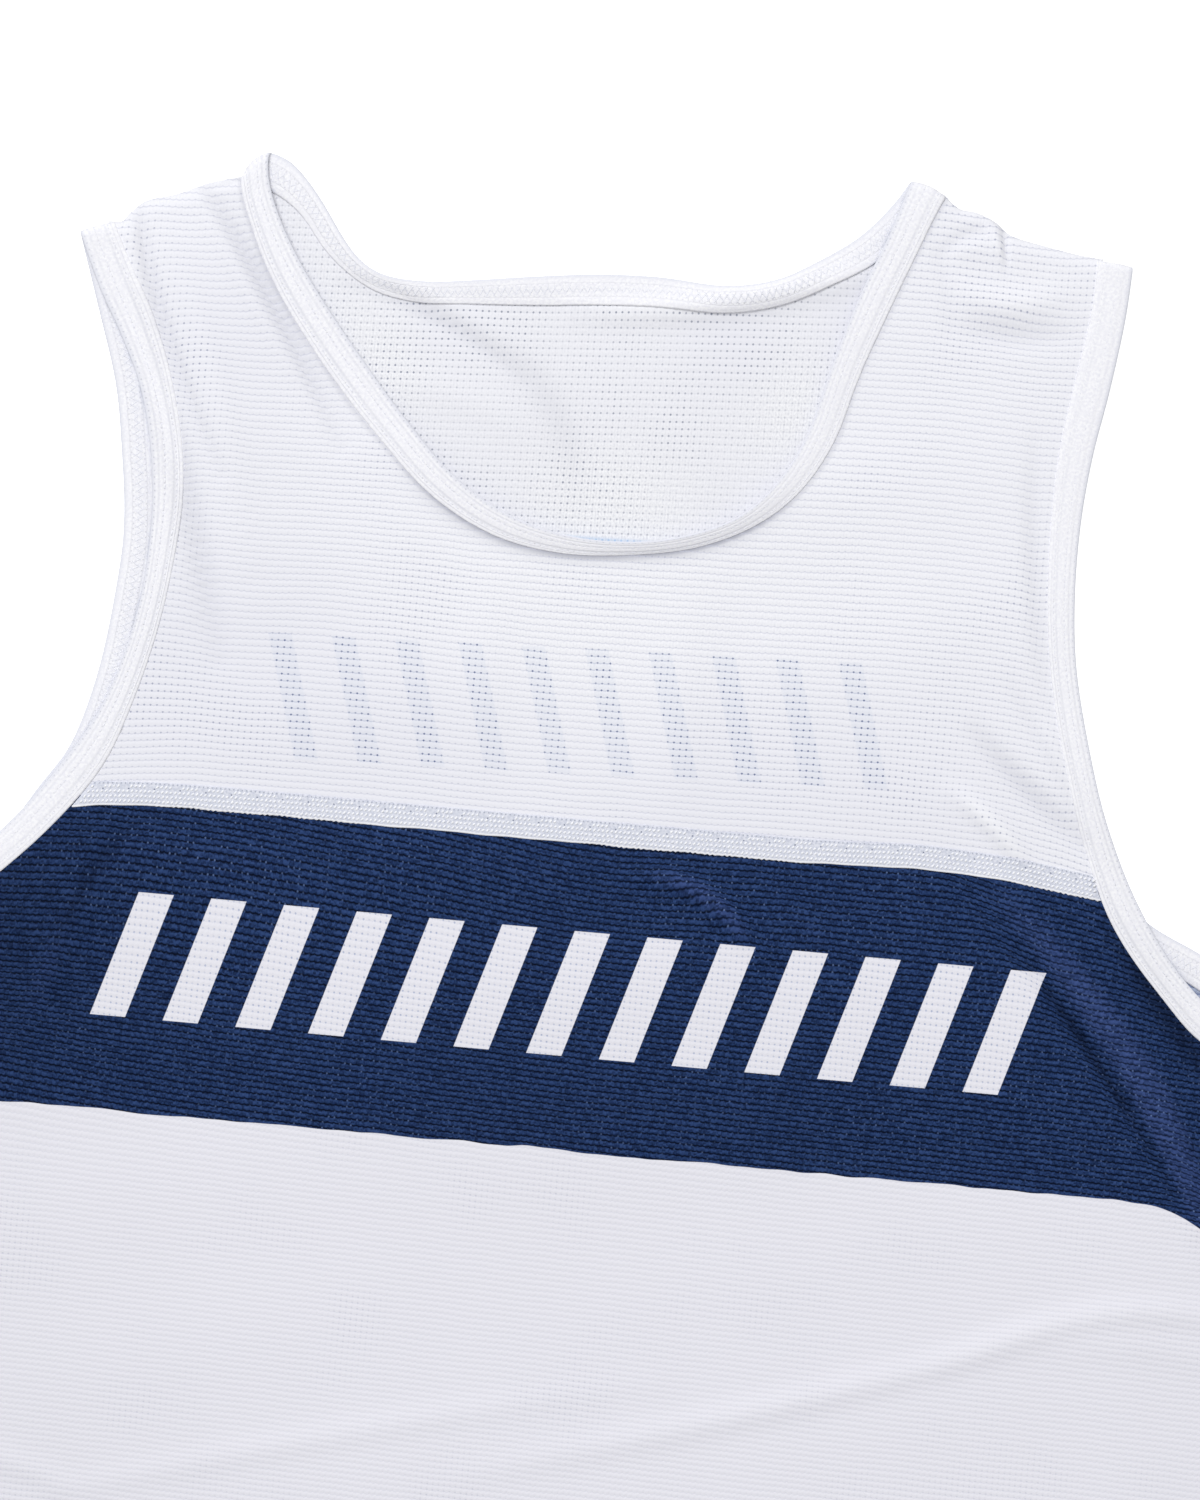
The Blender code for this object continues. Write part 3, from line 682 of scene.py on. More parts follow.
def knitFinish(name, look):
    finish = Finish(name)
    opened = finish.field("openness")
    crest = finish.field("crest")
    creaseShade = finish.field("creaseShade")
    toneAndShade = finish.field("toneAndShade")
    place = finish.map()
    column, row, unused = finish.parts(place)
    x, y, unused = finish.parts(finish.spot())

    drift = finish.noise(place, look["driftScale"], 1.0) - 0.5
    row = row + drift * look["drift"]
    yarn = finish.noise(finish.vector(column * look["yarnAcross"], row * look["yarnUp"]), 1.0)
    arch = abs((column * math.pi).maths("SINE"))
    line = row + (arch - 0.5) * look["scallop"] + (yarn - 0.5) * look["jitter"]
    groove = line.near().step(look["grooveWidth"], 0.0)
    navyLine = row + (arch - 0.5) * look["navyScallop"] + (yarn - 0.5) * look["navyJitter"]
    wideGroove = navyLine.near().step(look["navyGroove"], 0.03)
    luck = finish.chance(finish.vector(column.maths("ROUND"), row.maths("ROUND")))
    fleck = finish.chance(finish.vector((column * 2 + yarn).maths("ROUND"),
                                        (row * 3 + yarn).maths("ROUND")))
    reach = finish.vector(column.near() * look["column"], row.near() * look["pitch"])
    hole = finish.length(reach).step(look["holeOuter"], look["holeInner"])

    patch = finish.noise(place, look["patchScale"])
    wide = patch.step(look["patchLow"], look["patchHigh"]) + opened
    flat = 1 - opened.step(0.2, 1.1) * look["flatten"]   # stretched ribs show less
    grooveShare = groove * look["groove"] * (0.75 + 0.5 * patch) * flat
    holeShare = hole * look["hole"] * (0.6 + 0.5 * luck) * (look["holeBase"] + wide)
    streak = finish.noise(finish.vector(column * look["streakAcross"], row * look["streakUp"]), 1.0)

    wale = (column * (4 * math.pi)).maths("COSINE")
    colour = finish.mix(yarn.step(0.3, 0.7) * look["grain"] * (0.75 + 0.25 * wale),
                        look["base"], look["shade"])
    # the tone patches: uneven tone, painted shade and painted light
    colour = finish.mix(toneAndShade.step(-1.0, 1.0), colour, look["toneShade"])
    # painted highlight on the crests of narrow folds
    colour = finish.mix(crest.step(0.4, 2.6) * look["crestHighlightShare"], colour, look["crestHighlight"])
    # painted shade in the troughs of narrow folds, and on the front yoke the painted shadow of the
    # neck binding
    creaseShadeAmount = creaseShade * look["creaseShadeShare"]
    colour = finish.mix(creaseShadeAmount.maths("MINIMUM", 0.8), colour, look["creaseShadeColour"])
    colour = finish.mix(grooveShare, colour, look["rib"])
    colour = finish.mix(holeShare.maths("MINIMUM", 0.95), colour, look["dot"])

    if "ghost" in look:
        ghost = slantedBars(finish, x, y, look["ghost"])
        fog = finish.mix(ghost * (0.35 + 0.65 * groove), (1, 1, 1, 1), look["ghostTint"])
        colour = finish.mix(1.0, colour, fog, "MULTIPLY")
        colour = finish.mix(ghost * hole * (0.45 + 0.55 * luck), colour, look["ghostDot"])
    for bars, tint, share in look.get("prints", ()):
        ink = slantedBars(finish, x, y, bars) * (1 - 0.25 * groove)
        colour = finish.mix(ink * (share + (1 - share) * hole), colour, tint)

    rough = 0.72
    if "band" in look:
        band = look["band"]
        wavy = y + drift * band["wave"] + x.step(*band["dipSpan"]) * band["dip"]
        soft = band["soft"]
        inBand = (wavy - band["low"]).step(-soft, soft)
        if "bars" in look:
            bars = slantedBars(finish, x, y, look["bars"])
            colour = finish.mix(bars * hole * (0.25 + 0.5 * luck), colour, look["barDot"])
            inBand = inBand * (1 - bars)
        deep = finish.mix(yarn.step(0.36, 0.64), look["navy"], look["navyShade"])
        deep = finish.mix(streak.step(0.40, 0.66) * look["navyStreak"], deep, look["navyLight"])
        deep = finish.mix(fleck.step(0.50, 1.0) * look["navyFleck"], deep, look["navyLight"])
        fade = streak.step(0.25, 0.55) * look["navyStreak"] + look["navyRibShare"]
        deep = finish.mix(wideGroove * fade, deep, look["navyGrooveAndShade"])
        deep = finish.mix(fleck.step(0.45, 0.0) * look["navySpeck"], deep, look["navyGrooveAndShade"])
        shown = look["glint"] + 0.4 * opened + 0.3 * patch.step(0.42, 0.62)
        glint = hole * luck.step(0.45, 1.0) * shown
        # painted shade from the tone patches, painted highlight on fold crests and painted shade in
        # creases
        deep = finish.mix(toneAndShade.step(0.0, 1.6) * look["navyToneAndShade"], deep, look["navyGrooveAndShade"])
        deep = finish.mix(crest.step(0.3, 3.0) * (0.12 + 0.45 * fleck) * (1 - 0.7 * wideGroove),
                          deep, look["navyCrestHighlight"])
        deep = finish.mix(creaseShade.step(0.2, 2.2) * look["navyCreaseShade"], deep, look["navyGrooveAndShade"])
        deep = finish.mix(glint.maths("MINIMUM", 0.9), deep, look["navyGlint"])
        colour = finish.mix(inBand, colour, deep)
        rough = 0.72 - 0.18 * inBand

    rib = (line * (2 * math.pi)).maths("COSINE")
    height = 0.25 * yarn - 0.5 * rib - 0.35 * hole
    if "band" in look:
        height = height * (1 + 1.2 * inBand)
    return finish.paint(colour, rough, height, look["relief"], Specular_IOR_Level=look["gloss"])


knitLook = {
    "base": white, "shade": linear(227, 228, 237), "grain": 0.6, "gloss": 0.16,
    "relief": 0.00007,
    "drift": 0.42, "scallop": 0.15, "jitter": 0.08,    # how unevenly the ribs run
    "driftScale": 0.11, "yarnAcross": 3.6, "yarnUp": 2.6, "patchScale": 0.045,
    "streakAcross": 0.42, "streakUp": 0.14,
    "rib": linear(203, 205, 220), "grooveWidth": 0.16, "groove": 0.62,
    "column": 2.13, "pitch": 2.3,                      # mm between holes, across and upward
    "holeOuter": 0.46, "holeInner": 0.14, "hole": 0.72, "holeBase": 0.12,
    "dot": linear(166, 170, 190), "flatten": 0.6, "patchLow": 0.48, "patchHigh": 0.72,
    "toneShade": linear(235, 235.5, 243),
    # painted highlight on fold crests, and painted shade in creases
    "crestHighlightShare": 0.6, "crestHighlight": linear(250, 250.5, 254),
    "creaseShadeShare": 0.11, "creaseShadeColour": linear(160, 162, 176),
    "ghostTint": linear(237, 241, 247), "ghostDot": linear(96, 108, 148),
    # navyGrooveAndShade is the dark of the grooves and specks, and also the painted shade of tone
    # patches and creases
    "navy": navy, "navyShade": linear(25, 42, 82), "navyGrooveAndShade": linear(4, 10, 28),
    "navyLight": linear(54, 78, 128), "navyCrestHighlight": linear(72, 90, 146),
    "navyGlint": linear(112, 136, 186), "glint": 0.10,
    "navyGroove": 0.26, "navyScallop": 0.12, "navyJitter": 0.12,
    "navyStreak": 0.12, "navyFleck": 0.65, "navySpeck": 0.38,   # shares of light and dark yarn
    "navyRibShare": 0.84, "navyToneAndShade": 0.6, "navyCreaseShade": 0.65,
    "barDot": linear(150, 163, 196),
}
insideLook = {
    **knitLook, "base": linear(248, 248.5, 251.5), "shade": linear(218, 219, 226), "grain": 0.85,
    "relief": 0.00005, "drift": 0.12, "scallop": 0.05, "rib": linear(206, 208, 218),
    "grooveWidth": 0.15, "groove": 0.28, "holeOuter": 0.50, "hole": 0.68, "holeBase": 0.30,
    "dot": linear(140, 146, 164), "patchLow": 0.42, "patchHigh": 0.68,
}
bodyLook = {
    **knitLook, "base": lowerWhite, "shade": linear(230, 229.5, 238), "grain": 0.35,
    "gloss": 0.03, "relief": 0.00009, "scallop": 0.20, "jitter": 0.26, "groove": 0.30,
    "column": 1.9, "pitch": 1.95, "hole": 0.35, "holeBase": 0.0,
    "toneShade": linear(229, 228.5, 236), "crestHighlightShare": 0.15, "creaseShadeShare": 0.045,
}
yokeOuter = knitFinish("yokeKnit", {**knitLook, "ghost": backBars})
yokeInside = knitFinish("yokeKnitInside", {
    **insideLook, "prints": ((backTick, linear(178, 208, 240), 0.4),)})
backYokeOuter = knitFinish("backYokeKnit", {
    **knitLook, "prints": ((backBars, navy, 1.0), (backTick, linear(120, 160, 215), 1.0))})
bodyOuter = knitFinish("bodyKnit", {**bodyLook, "band": frontBand, "bars": frontBars})
backBodyOuter = knitFinish("backBodyKnit", {**bodyLook, "band": backBand})
bodyInside = knitFinish("bodyKnitInside", {
    **insideLook, "base": lowerWhite, "band": frontBand, "navy": linear(176, 186, 208),
    "navyShade": linear(168, 178, 202), "navyGrooveAndShade": linear(120, 132, 168),
    "navyLight": linear(190, 200, 220)})


def jerseyFinish(name, look):
    # fine single jersey; the map runs in mm along, and in shares of the width across
    finish = Finish(name)
    along, across, unused = finish.parts(finish.map())
    crossways = across * look["width"]
    grain = finish.noise(finish.vector(along, crossways), look["grain"], 2.0)
    fleck = finish.noise(finish.vector(along, crossways * 0.5), 0.25, 1.0)
    colour = finish.mix(grain.step(0.38, 0.62), look["base"], look["shade"])
    colour = finish.mix(fleck.step(0.45, 0.70) * 0.6, colour, look["dim"])
    drawn = 1
    if "under" in look:
        # painted shadow on the back where the front's free edge lies over it, and painted shade
        # along the rims of the strip
        colour = finish.mix(finish.field("covered"), colour, look["under"])
        colour = finish.mix(abs(across - 1).step(look["rim"], 0) * 0.8, colour, look["rimShade"])
        drawn = finish.field("drawn")
    height = grain
    for share, pitch, depth in look["pinholes"]:
        # rows of needle holes
        reach = finish.vector((along / pitch + share).near() * pitch,
                              (across - share) * look["width"])
        hole = finish.length(reach).step(0.36, 0.12)
        colour = finish.mix(hole * depth * drawn, colour, look["hole"])
        height = height - hole * drawn
    for share, halfWidth, depth in look["lines"]:
        # fine lines of painted shade, with a dip in the bump, where a layer underneath ends
        line = abs(across - share).step(halfWidth, 0.0)
        colour = finish.mix(line * depth * drawn, colour, look["hole"])
        height = height - line * 0.8 * drawn
    if "lip" in look:
        edge, tint = look["lip"]
        colour = finish.mix(across.step(edge + 0.02, edge - 0.02) * 0.9, colour, tint)
    return finish.paint(colour, 0.78 - 0.05 * grain, height, look["relief"],
                        Specular_IOR_Level=0.2)


bindingJersey = jerseyFinish("bindingJersey", {
    "base": linear(249, 249, 252.5), "shade": linear(239, 239, 246), "dim": linear(242, 242, 248),
    # under: painted shadow where the front's free edge lies over the back; rimShade: painted shade
    # along the rims
    "hole": linear(180, 184, 200), "under": linear(160, 169, 190), "width": 11.0,
    "grain": 1.0, "relief": 0.00011, "rim": 0.16, "rimShade": linear(222, 224, 234),
    "pinholes": ((0.22, 1.85, 0.35), (0.60, 1.85, 0.3), (0.92, 2.25, 0.4), (1.30, 1.85, 0.25),
                 (1.70, 1.85, 0.25)),
    "lines": ((0.12, 0.02, 0.2), (0.31, 0.07, 0.24), (0.78, 0.06, 0.18), (1.27, 0.03, 0.15),
              (1.74, 0.03, 0.15))})
tapeBase = jerseyFinish("tapeBase", {
    "base": linear(225, 227, 237), "shade": linear(203, 207, 221), "dim": linear(212, 216, 228),
    "hole": linear(128, 135, 160), "width": 7.7, "grain": 1.1,
    "relief": 0.00012, "pinholes": ((0.95, 1.45, 0.5), (0.72, 8.6, 1.0)), "lines": (),
    "lip": (0.07, linear(250, 250, 254))})


def threadFinish(name, base, shade):
    finish = Finish(name)
    ply = finish.noise(finish.spot(), 2600.0, 2.0)
    colour = finish.mix(ply.step(0.35, 0.65), base, shade)
    return finish.paint(colour, 0.55 + 0.1 * ply, ply, 0.00008, Specular_IOR_Level=0.4,
                        Sheen_Weight=0.1)


threadWhite = threadFinish("threadWhite", linear(243, 243.5, 250), linear(228, 230, 240))
tapeThread = threadFinish("tapeThread", linear(252, 252.5, 255), linear(238, 240, 247))
print("knit, jersey and thread finishes made")


# panels
panels = {
    "yokeArmSteps": 84,    # grid steps of each yoke: armhole, seam, and from seam to neck
    "yokeSeamSteps": 200,
    "yokeStrapSteps": 76,
    "fadeSteps": 24,       # the shoulder line's own shape fades out within this many steps
    "frontBodySteps": (200, 150, 40),   # across, up the side, up the armhole
    "backBodySteps": (100, 70, 20),
    "tuck": 1.6,           # the panel ends this far inside its binding
    "tapeTuck": 3.0,       # and this far under the chest tape
    "wall": 0.7,
    "hemWall": 1.25,
    "hemStep": 1.5,        # the hem thickens over this much
    "hemLift": 0.3,
    "shoulderFade": (1.0, 0.7, 0.35, 0.0),
    "bowFold": 6.1,        # folds wider than this don't bow the ribs
    "broadFold": 12.0,     # nor do folds wider than this shade them
    "backShade": 1.5,
    "shadowTop": 240,      # the neck binding shades the yoke more below here
    "shadowEase": 25,
    "shadowLine": (3, 5, 0.9),          # all round, more below, half width
    "shadowSoft": (2.2, 3.4),
    "openFold": 0.35,      # how much a fold opens the mesh
    "openArm": (0.30, 9),  # amount and reach beside a binding
    "openNeck": (0.12, 12),
    "openBackNeck": (0.45, 12),
    "openShoulder": (0.35, 16),
    "shutShoulder": (-0.8, 3),
}


def tucked(rows, places, tuck):
    # points a little outside the sewn edge, inside the binding
    sections = smoothPath(rows, places)
    return sections[:, sewn] + unit(sections[:, free] - sections[:, sewn]) * tuck


def fillPatch(bottom, top, left, right):
    u = np.linspace(0, 1, len(bottom))[None, :, None]
    v = np.linspace(0, 1, len(left))[:, None, None]
    across = (1 - u) * left[:, None, :] + u * right[:, None, :]
    upward = (1 - v) * bottom[None] + v * top[None]
    corners = ((1 - u) * (1 - v) * bottom[0] + u * (1 - v) * bottom[-1]
               + (1 - u) * v * top[0] + u * v * top[-1])
    return across + upward - corners


def seamEdge(line, rise, start, end, steps):
    x = np.linspace(start[0], end[0], steps + 1)
    edge = np.column_stack((x, seamHeight(line, x) + rise))
    blend = np.minimum(np.arange(steps + 1), steps - np.arange(steps + 1))[:, None] / 4
    ends = np.where(np.arange(steps + 1)[:, None] < steps / 2, start, end)
    return np.where(blend < 1, ends * (1 - blend) + edge * blend, edge)


def yokeGrid(armRows, neck, seamLine):
    p = panels
    tuck = p["tuck"]
    rise = outline["seamWidth"] - p["tapeTuck"]
    arms = []
    for rows in armRows:
        places = evenPlaces(rows, 0, crossing(rows, seamLine, rise), p["yokeArmSteps"], sewn)
        arms.append(tucked(rows, places, tuck))
    bottom = seamEdge(seamLine, rise, arms[0][-1], arms[1][-1], p["yokeSeamSteps"])
    outer = np.vstack((arms[0][:-1], bottom, arms[1][-2::-1]))
    neckEdge = tucked(neck, evenPlaces(neck, 0, len(neck) - 1, len(outer) - 1, sewn), tuck)
    steps = p["yokeStrapSteps"]
    share = np.linspace(0, 1, steps + 1)[:, None, None]
    grid = (1 - share) * outer[None] + share * neckEdge[None]
    fade = np.interp(np.linspace(0, 3, p["fadeSteps"] + 1), range(4), p["shoulderFade"])
    for side, rows in ((1, leftShoulder), (-1, rightShoulder)):
        shoulder = smoothPath(rows, evenPlaces(rows, 0, len(rows) - 1, steps))
        straight = (1 - share[:, 0]) * shoulder[0] + share[:, 0] * shoulder[-1]
        for step, part in enumerate(fade):
            grid[:, step if side > 0 else -1 - step] += (shoulder - straight) * part
    return grid


def sideEdge(sign, steps):
    corner = outline["hemY"] + outline["hemBow"]
    length = outline["pitY"] - corner
    t = np.linspace(0, 1, steps + 1)
    t = t * (1.45 - 0.45 * t)   # closer steps higher up
    x = (outline["sideX"] + (outline["pitX"] - outline["sideX"]) * t
         - outline["waistPull"] * np.sin(np.pi * t))
    return np.column_stack((sign * x, corner + length * t))


def bodyGrid(armRows, seamLine, gridSteps):
    p = panels
    steps, sideSteps, armSteps = gridSteps
    sides = []
    for sign, rows in zip((-1, 1), armRows):
        start = crossing(rows, seamLine, p["tapeTuck"])
        places = evenPlaces(rows, start, len(rows) - 1, armSteps, sewn)
        tuck = p["tuck"] * np.clip((len(rows) - 1 - places) / 0.4, 0, 1)[:, None]
        arm = tucked(rows, places, tuck)
        sides.append(np.vstack((sideEdge(sign, sideSteps)[:-1], arm[::-1])))
    top = seamEdge(seamLine, p["tapeTuck"], sides[0][-1], sides[1][-1], steps)
    hem = np.linspace(sides[0][0], sides[1][0], steps + 1)
    hem[:, 1] -= outline["hemBow"] * np.sin(np.pi * np.linspace(0, 1, steps + 1))
    return fillPatch(hem, top, sides[0], sides[1])


toneAndShadePatches = {   # where the colour is painted a little darker, or lighter where the amount is below 0: uneven tone, painted shade and painted light: x, y, reach, amount
    "frontYoke": ((-135, 150, 55, 0.9), (-60, 130, 45, 0.7), (30, 128, 45, 0.6),
                  (100, 128, 45, 0.7), (0, 192, 42, -0.6), (-60, 190, 30, -0.3),
                  (70, 200, 40, -0.3), (-135, 275, 32, 0.6)),
    # on the back yoke: painted shade below the neck binding, and painted light near the front's
    # neckline
    "backYoke": ((-14, 250, 60, 0.2), (35, 288, 16, 0.7), (-60, 282, 14, 0.5), (75, 300, 14, 0.6),
                 (-90, 262, 20, -0.9), (60, 262, 16, -0.8), (0, 216, 26, -1.4)),
    "frontBody": ((-190, -100, 90, 0.5), (200, -110, 60, 0.1), (-190, 70, 70, 0.7),
                  (-20, 30, 70, 0.3), (90, 40, 50, 0.3)),
    "backBody": (),
}
openPatches = (   # where the front yoke is stretched enough for its holes to show
    (-150, 262, 24, 0.2), (-141, 206, 12, 0.6), (-60, 140, 40, 0.30), (-130, 140, 30, 0.4),
    (120, 150, 38, 0.65), (80, 135, 30, 0.4), (137, 317, 11, 0.35), (150, 314, 9, 0.35),
    (133, 306, 8, 0.3), (146, 291, 9, 0.35), (-100, 225, 20, 0.2), (-108, 252, 9, 0.35),
)
openLines = (     # from x, y, by way of x, y, to x, y, half width, amount
    (-166, 316, -152, 282, -130, 230, 4.6, 0.7),
    (-170, 308, -166, 296, -160, 282, 3.5, 0.6),
)
backOpenPatches = (
    (-95, 290, 22, 0.5), (-55, 283, 16, 0.35), (0, 284, 18, 0.4), (45, 284, 22, 0.4),
    (75, 285, 18, 0.3), (-20, 235, 18, 0.45), (-8, 262, 16, 0.35), (-75, 255, 14, 0.4),
)


def softPatches(x, y, patches):
    return sum((amount * np.exp(-(np.hypot(x - px, y - py) / reach)**2)
                for px, py, reach, amount in patches), np.zeros_like(x))


def edgeOpenness(x, y, folds, front):
    # how far the mesh is stretched open: on folds, beside bindings and near the shoulders
    p = panels
    total = (p["openFold"] * np.clip(folds, 0, 2)
             + softPatches(x, y, openPatches if front else backOpenPatches))
    if front:
        total += foldHeight(x, y, openLines)
    lines = [(finePath(rows, 120)[:, sewn], p["openArm"])
             for rows in (frontArms if front else backArms)]
    for rows in (leftShoulder, rightShoulder):
        line = smoothPath(rows, np.linspace(0, 6, 60))
        lines += [(line, p["openShoulder"]), (line, p["shutShoulder"])]
    lines.append((finePath(neckFront, 120)[:, sewn], p["openNeck" if front else "openBackNeck"]))
    for line, (amount, reach) in lines:
        total += amount * np.exp(-(lineDistance(x, y, line) / reach)**2)
    return np.clip(total, -0.3, 1.2)


def hemBow(x):
    return outline["hemBow"] * (1 - np.cos(np.pi * x / (2 * outline["sideX"])))


def makePanel(name, grid, materials, shutLines=None):
    # the front's panels are shut down on the back's along shutLines
    p = panels
    front = shutLines is not None
    x, y = grid[..., 0], grid[..., 1]
    z = frontHeight(x, y) if front else backHeight(x, y)
    wall = np.full(x.shape, p["wall"])
    if name.endswith("Body"):
        rise = y - (outline["hemY"] + hemBow(x))
        inHem = ease((outline["hemTurn"] + p["hemStep"] - rise) / p["hemStep"])
        wall = wall + (p["hemWall"] - p["wall"]) * inHem
        z = z + p["hemLift"] * inHem
    if front:
        z = rollShut(x, y, z, shutLines)
    allFolds = frontFolds + frontCreases if front else backFolds
    bowing = foldHeight(x, y, [fold for fold in allFolds if fold[6] < p["bowFold"]])
    place = knitPlace(x, y, knitMaps[name], bowing)
    # narrow folds get a painted highlight on their crests and painted shade in their troughs
    shading = [fold for fold in allFolds if fold[6] < p["broadFold"]]
    crest = foldHeight(x, y, shading)
    creaseShade = -foldHeight(x, y, [fold for fold in shading if fold[7] < 0])
    if not front:
        creaseShade = creaseShade * p["backShade"]
    # on the front yoke, painted shadow of the neck binding: a thin line all round and a wider soft
    # one below shadowTop
    if name == "frontYoke":
        gap = lineDistance(x, y, finePath(neckFront, 900)[:, sewn])
        below = ease((p["shadowTop"] - y) / p["shadowEase"])
        line, lineBelow, lineWidth = p["shadowLine"]
        soft, softWidth = p["shadowSoft"]
        creaseShade = (creaseShade + (line + lineBelow * below) * np.exp(-(gap / lineWidth)**2)
                  + soft * below * np.exp(-(gap / softWidth)**2))
    fields = {"openness": edgeOpenness(x, y, crest, front), "crest": crest, "creaseShade": creaseShade,
              "toneAndShade": softPatches(x, y, toneAndShadePatches[name])}
    return clothShell(name, np.dstack((grid, z)), wall, place, materials, fields)


shoulders = [finePath(rows, 160) for rows in (leftShoulder, rightShoulder)]
sides = [sideEdge(sign, 160) for sign in (-1, 1)]
frontArms = (leftArmFront, rightArmFront)
backArms = (leftArmBack, rightArmBack)
frontYoke = makePanel("frontYoke", yokeGrid(frontArms, neckFront, frontSeamLine),
                      (yokeOuter, yokeInside), shoulders)
backYoke = makePanel("backYoke", yokeGrid(backArms, neckBack[::-1], backSeamLine),
                     (yokeInside, backYokeOuter))
frontBody = makePanel("frontBody", bodyGrid(frontArms, frontSeamLine, panels["frontBodySteps"]),
                      (bodyOuter, bodyInside), sides)
backBody = makePanel("backBody", bodyGrid(backArms, backSeamLine, panels["backBodySteps"]),
                     (bodyInside, backBodyOuter))


# bindings
bindings = {
    "stepsPerMm": 0.55,
    "half": 0.85,          # half the thickness of the folded strip
    "freeHalf": 0.55,      # and near its free edge, over these shares of its width
    "freeFrom": 0.6,
    "freeRun": 0.3,
    "roundFrom": 0.87,     # its free edge is rounded from here
    "sewnHalf": 0.55,      # half of it where it is sewn down
    "sewnShare": 0.17,
    "turnGap": 2.4,        # the turn over the shoulder starts this far before the end
    "seamGap": 0.1,
    "standFrom": 0.15,     # the strip starts to stand at this share of its width
    "neckStand": 0.28,     # how much of the table's rise the free edge keeps
    "armStand": 0.10,
    "foldMid": 1.85,
    "foldRadius": 1.0,
    "foldSteps": 6,
    "stitchLines": (0.22, 0.60),
    "stitchDepth": 0.17,
    "stitchReach": 0.035,
    "coverShade": 0.46,    # how dark the painted shadow is on the back where the front's edge lies over it
    "coverReach": 0.55,
    "coverFade": 3.0,
    "nearShade": 0.05,     # and a faint shade this far beside it
    "nearReach": 4.0,
    "drawnBase": 0.25,     # how much of its seam lines shows, and where more of them does
    "drawnPatches": ((-150, 190, 90, 0.9), (-115, 300, 60, 0.7), (-5, 215, 60, 0.9),
                     (160, 170, 60, 0.6), (80, 320, 40, 0.4), (30, 300, 60, 0.4),
                     (192, 98, 34, 0.9)),
}
acrossPlaces = np.array((0, 0.05, 0.11, 0.17, 0.22, 0.27, 0.34, 0.42, 0.50, 0.55, 0.60, 0.65,
                         0.72, 0.80, 0.87, 0.93, 0.97, 0.99, 1.0))


def stripLines(sections, height, standShare):
    # the strip's middle, section by section, from the sewn edge to the free edge
    freeEdge, sewnEdge = sections[:, free], sections[:, sewn]
    seated = sewnEdge + unit(freeEdge - sewnEdge) * bindings["seamGap"]
    lines = []
    for share in acrossPlaces:
        flat = seated + (freeEdge - seated) * share
        rise = max(0.0, (share - bindings["standFrom"]) / (1 - bindings["standFrom"]))**1.15
        rise *= standShare
        lines.append(np.column_stack((flat, height(*flat.T) + sections[:, stand] * rise)))
    return np.stack(lines, axis=1)


def strandOf(rows, height, standShare):
    # the strip along one side, and the lines at its two ends that it turns over
    length = runLength(finePath(rows, 400)[:, sewn])[-1]
    steps = int(length * bindings["stepsPerMm"])
    places = evenPlaces(rows, 0, len(rows) - 1, steps, sewn)
    skip = int(bindings["turnGap"] * bindings["stepsPerMm"] + 0.5)
    lines = stripLines(smoothPath(rows, places), height, standShare)
    return lines[skip:-skip], lines[0], lines[-1]


def turnLines(foldLine, upper, lower, bulge):
    # sections that carry the strip round its fold, from above to below
    up = unit(upper[:, :2] - foldLine[:, :2])
    down = unit(lower[:, :2] - foldLine[:, :2])
    radius, half = bindings["foldRadius"], bindings["half"]
    steps = bindings["foldSteps"]
    result = []
    for step in range(steps + 1):
        angle = math.pi * (0.5 - step / steps)
        share = step / steps
        reach = half + (1 - math.cos(angle)) * (radius + half / 2)
        reach = (reach - bulge * 4 * acrossPlaces * (1 - acrossPlaces))[:, None]
        flat = foldLine[:, :2] + (up * (1 - share) + down * share) * reach
        high = np.full(len(flat), bindings["foldMid"] + radius * math.sin(angle))
        result.append(np.column_stack((flat, high)))
    return result


def ringOf(frontRows, backRows, standShare, nearBulge=0.0, farBulge=0.0):
    upper, foldNear, foldFar = strandOf(frontRows, frontHeight, standShare)
    lower = strandOf(backRows, bindingBackHeight, standShare)[0]
    farTurn = turnLines(foldFar, upper[-1], lower[0], farBulge)
    nearTurn = turnLines(foldNear, upper[0], lower[-1], nearBulge)
    ring = np.array(list(upper) + farTurn + list(lower) + nearTurn[::-1])
    for again in range(3):   # softens the joins of the turns
        ring = ring * 0.5 + np.roll(ring, 1, axis=0) * 0.25 + np.roll(ring, -1, axis=0) * 0.25
    tangent = unit(np.roll(ring, -1, axis=0) - np.roll(ring, 1, axis=0))
    normal = unit(np.cross(tangent, np.gradient(ring, axis=1)))
    normal *= np.sign(normal[:len(upper), :, 2].mean())
    return {"ring": ring, "normal": normal, "frontCount": len(upper),
            "backStart": len(upper) + len(farTurn), "backCount": len(lower)}


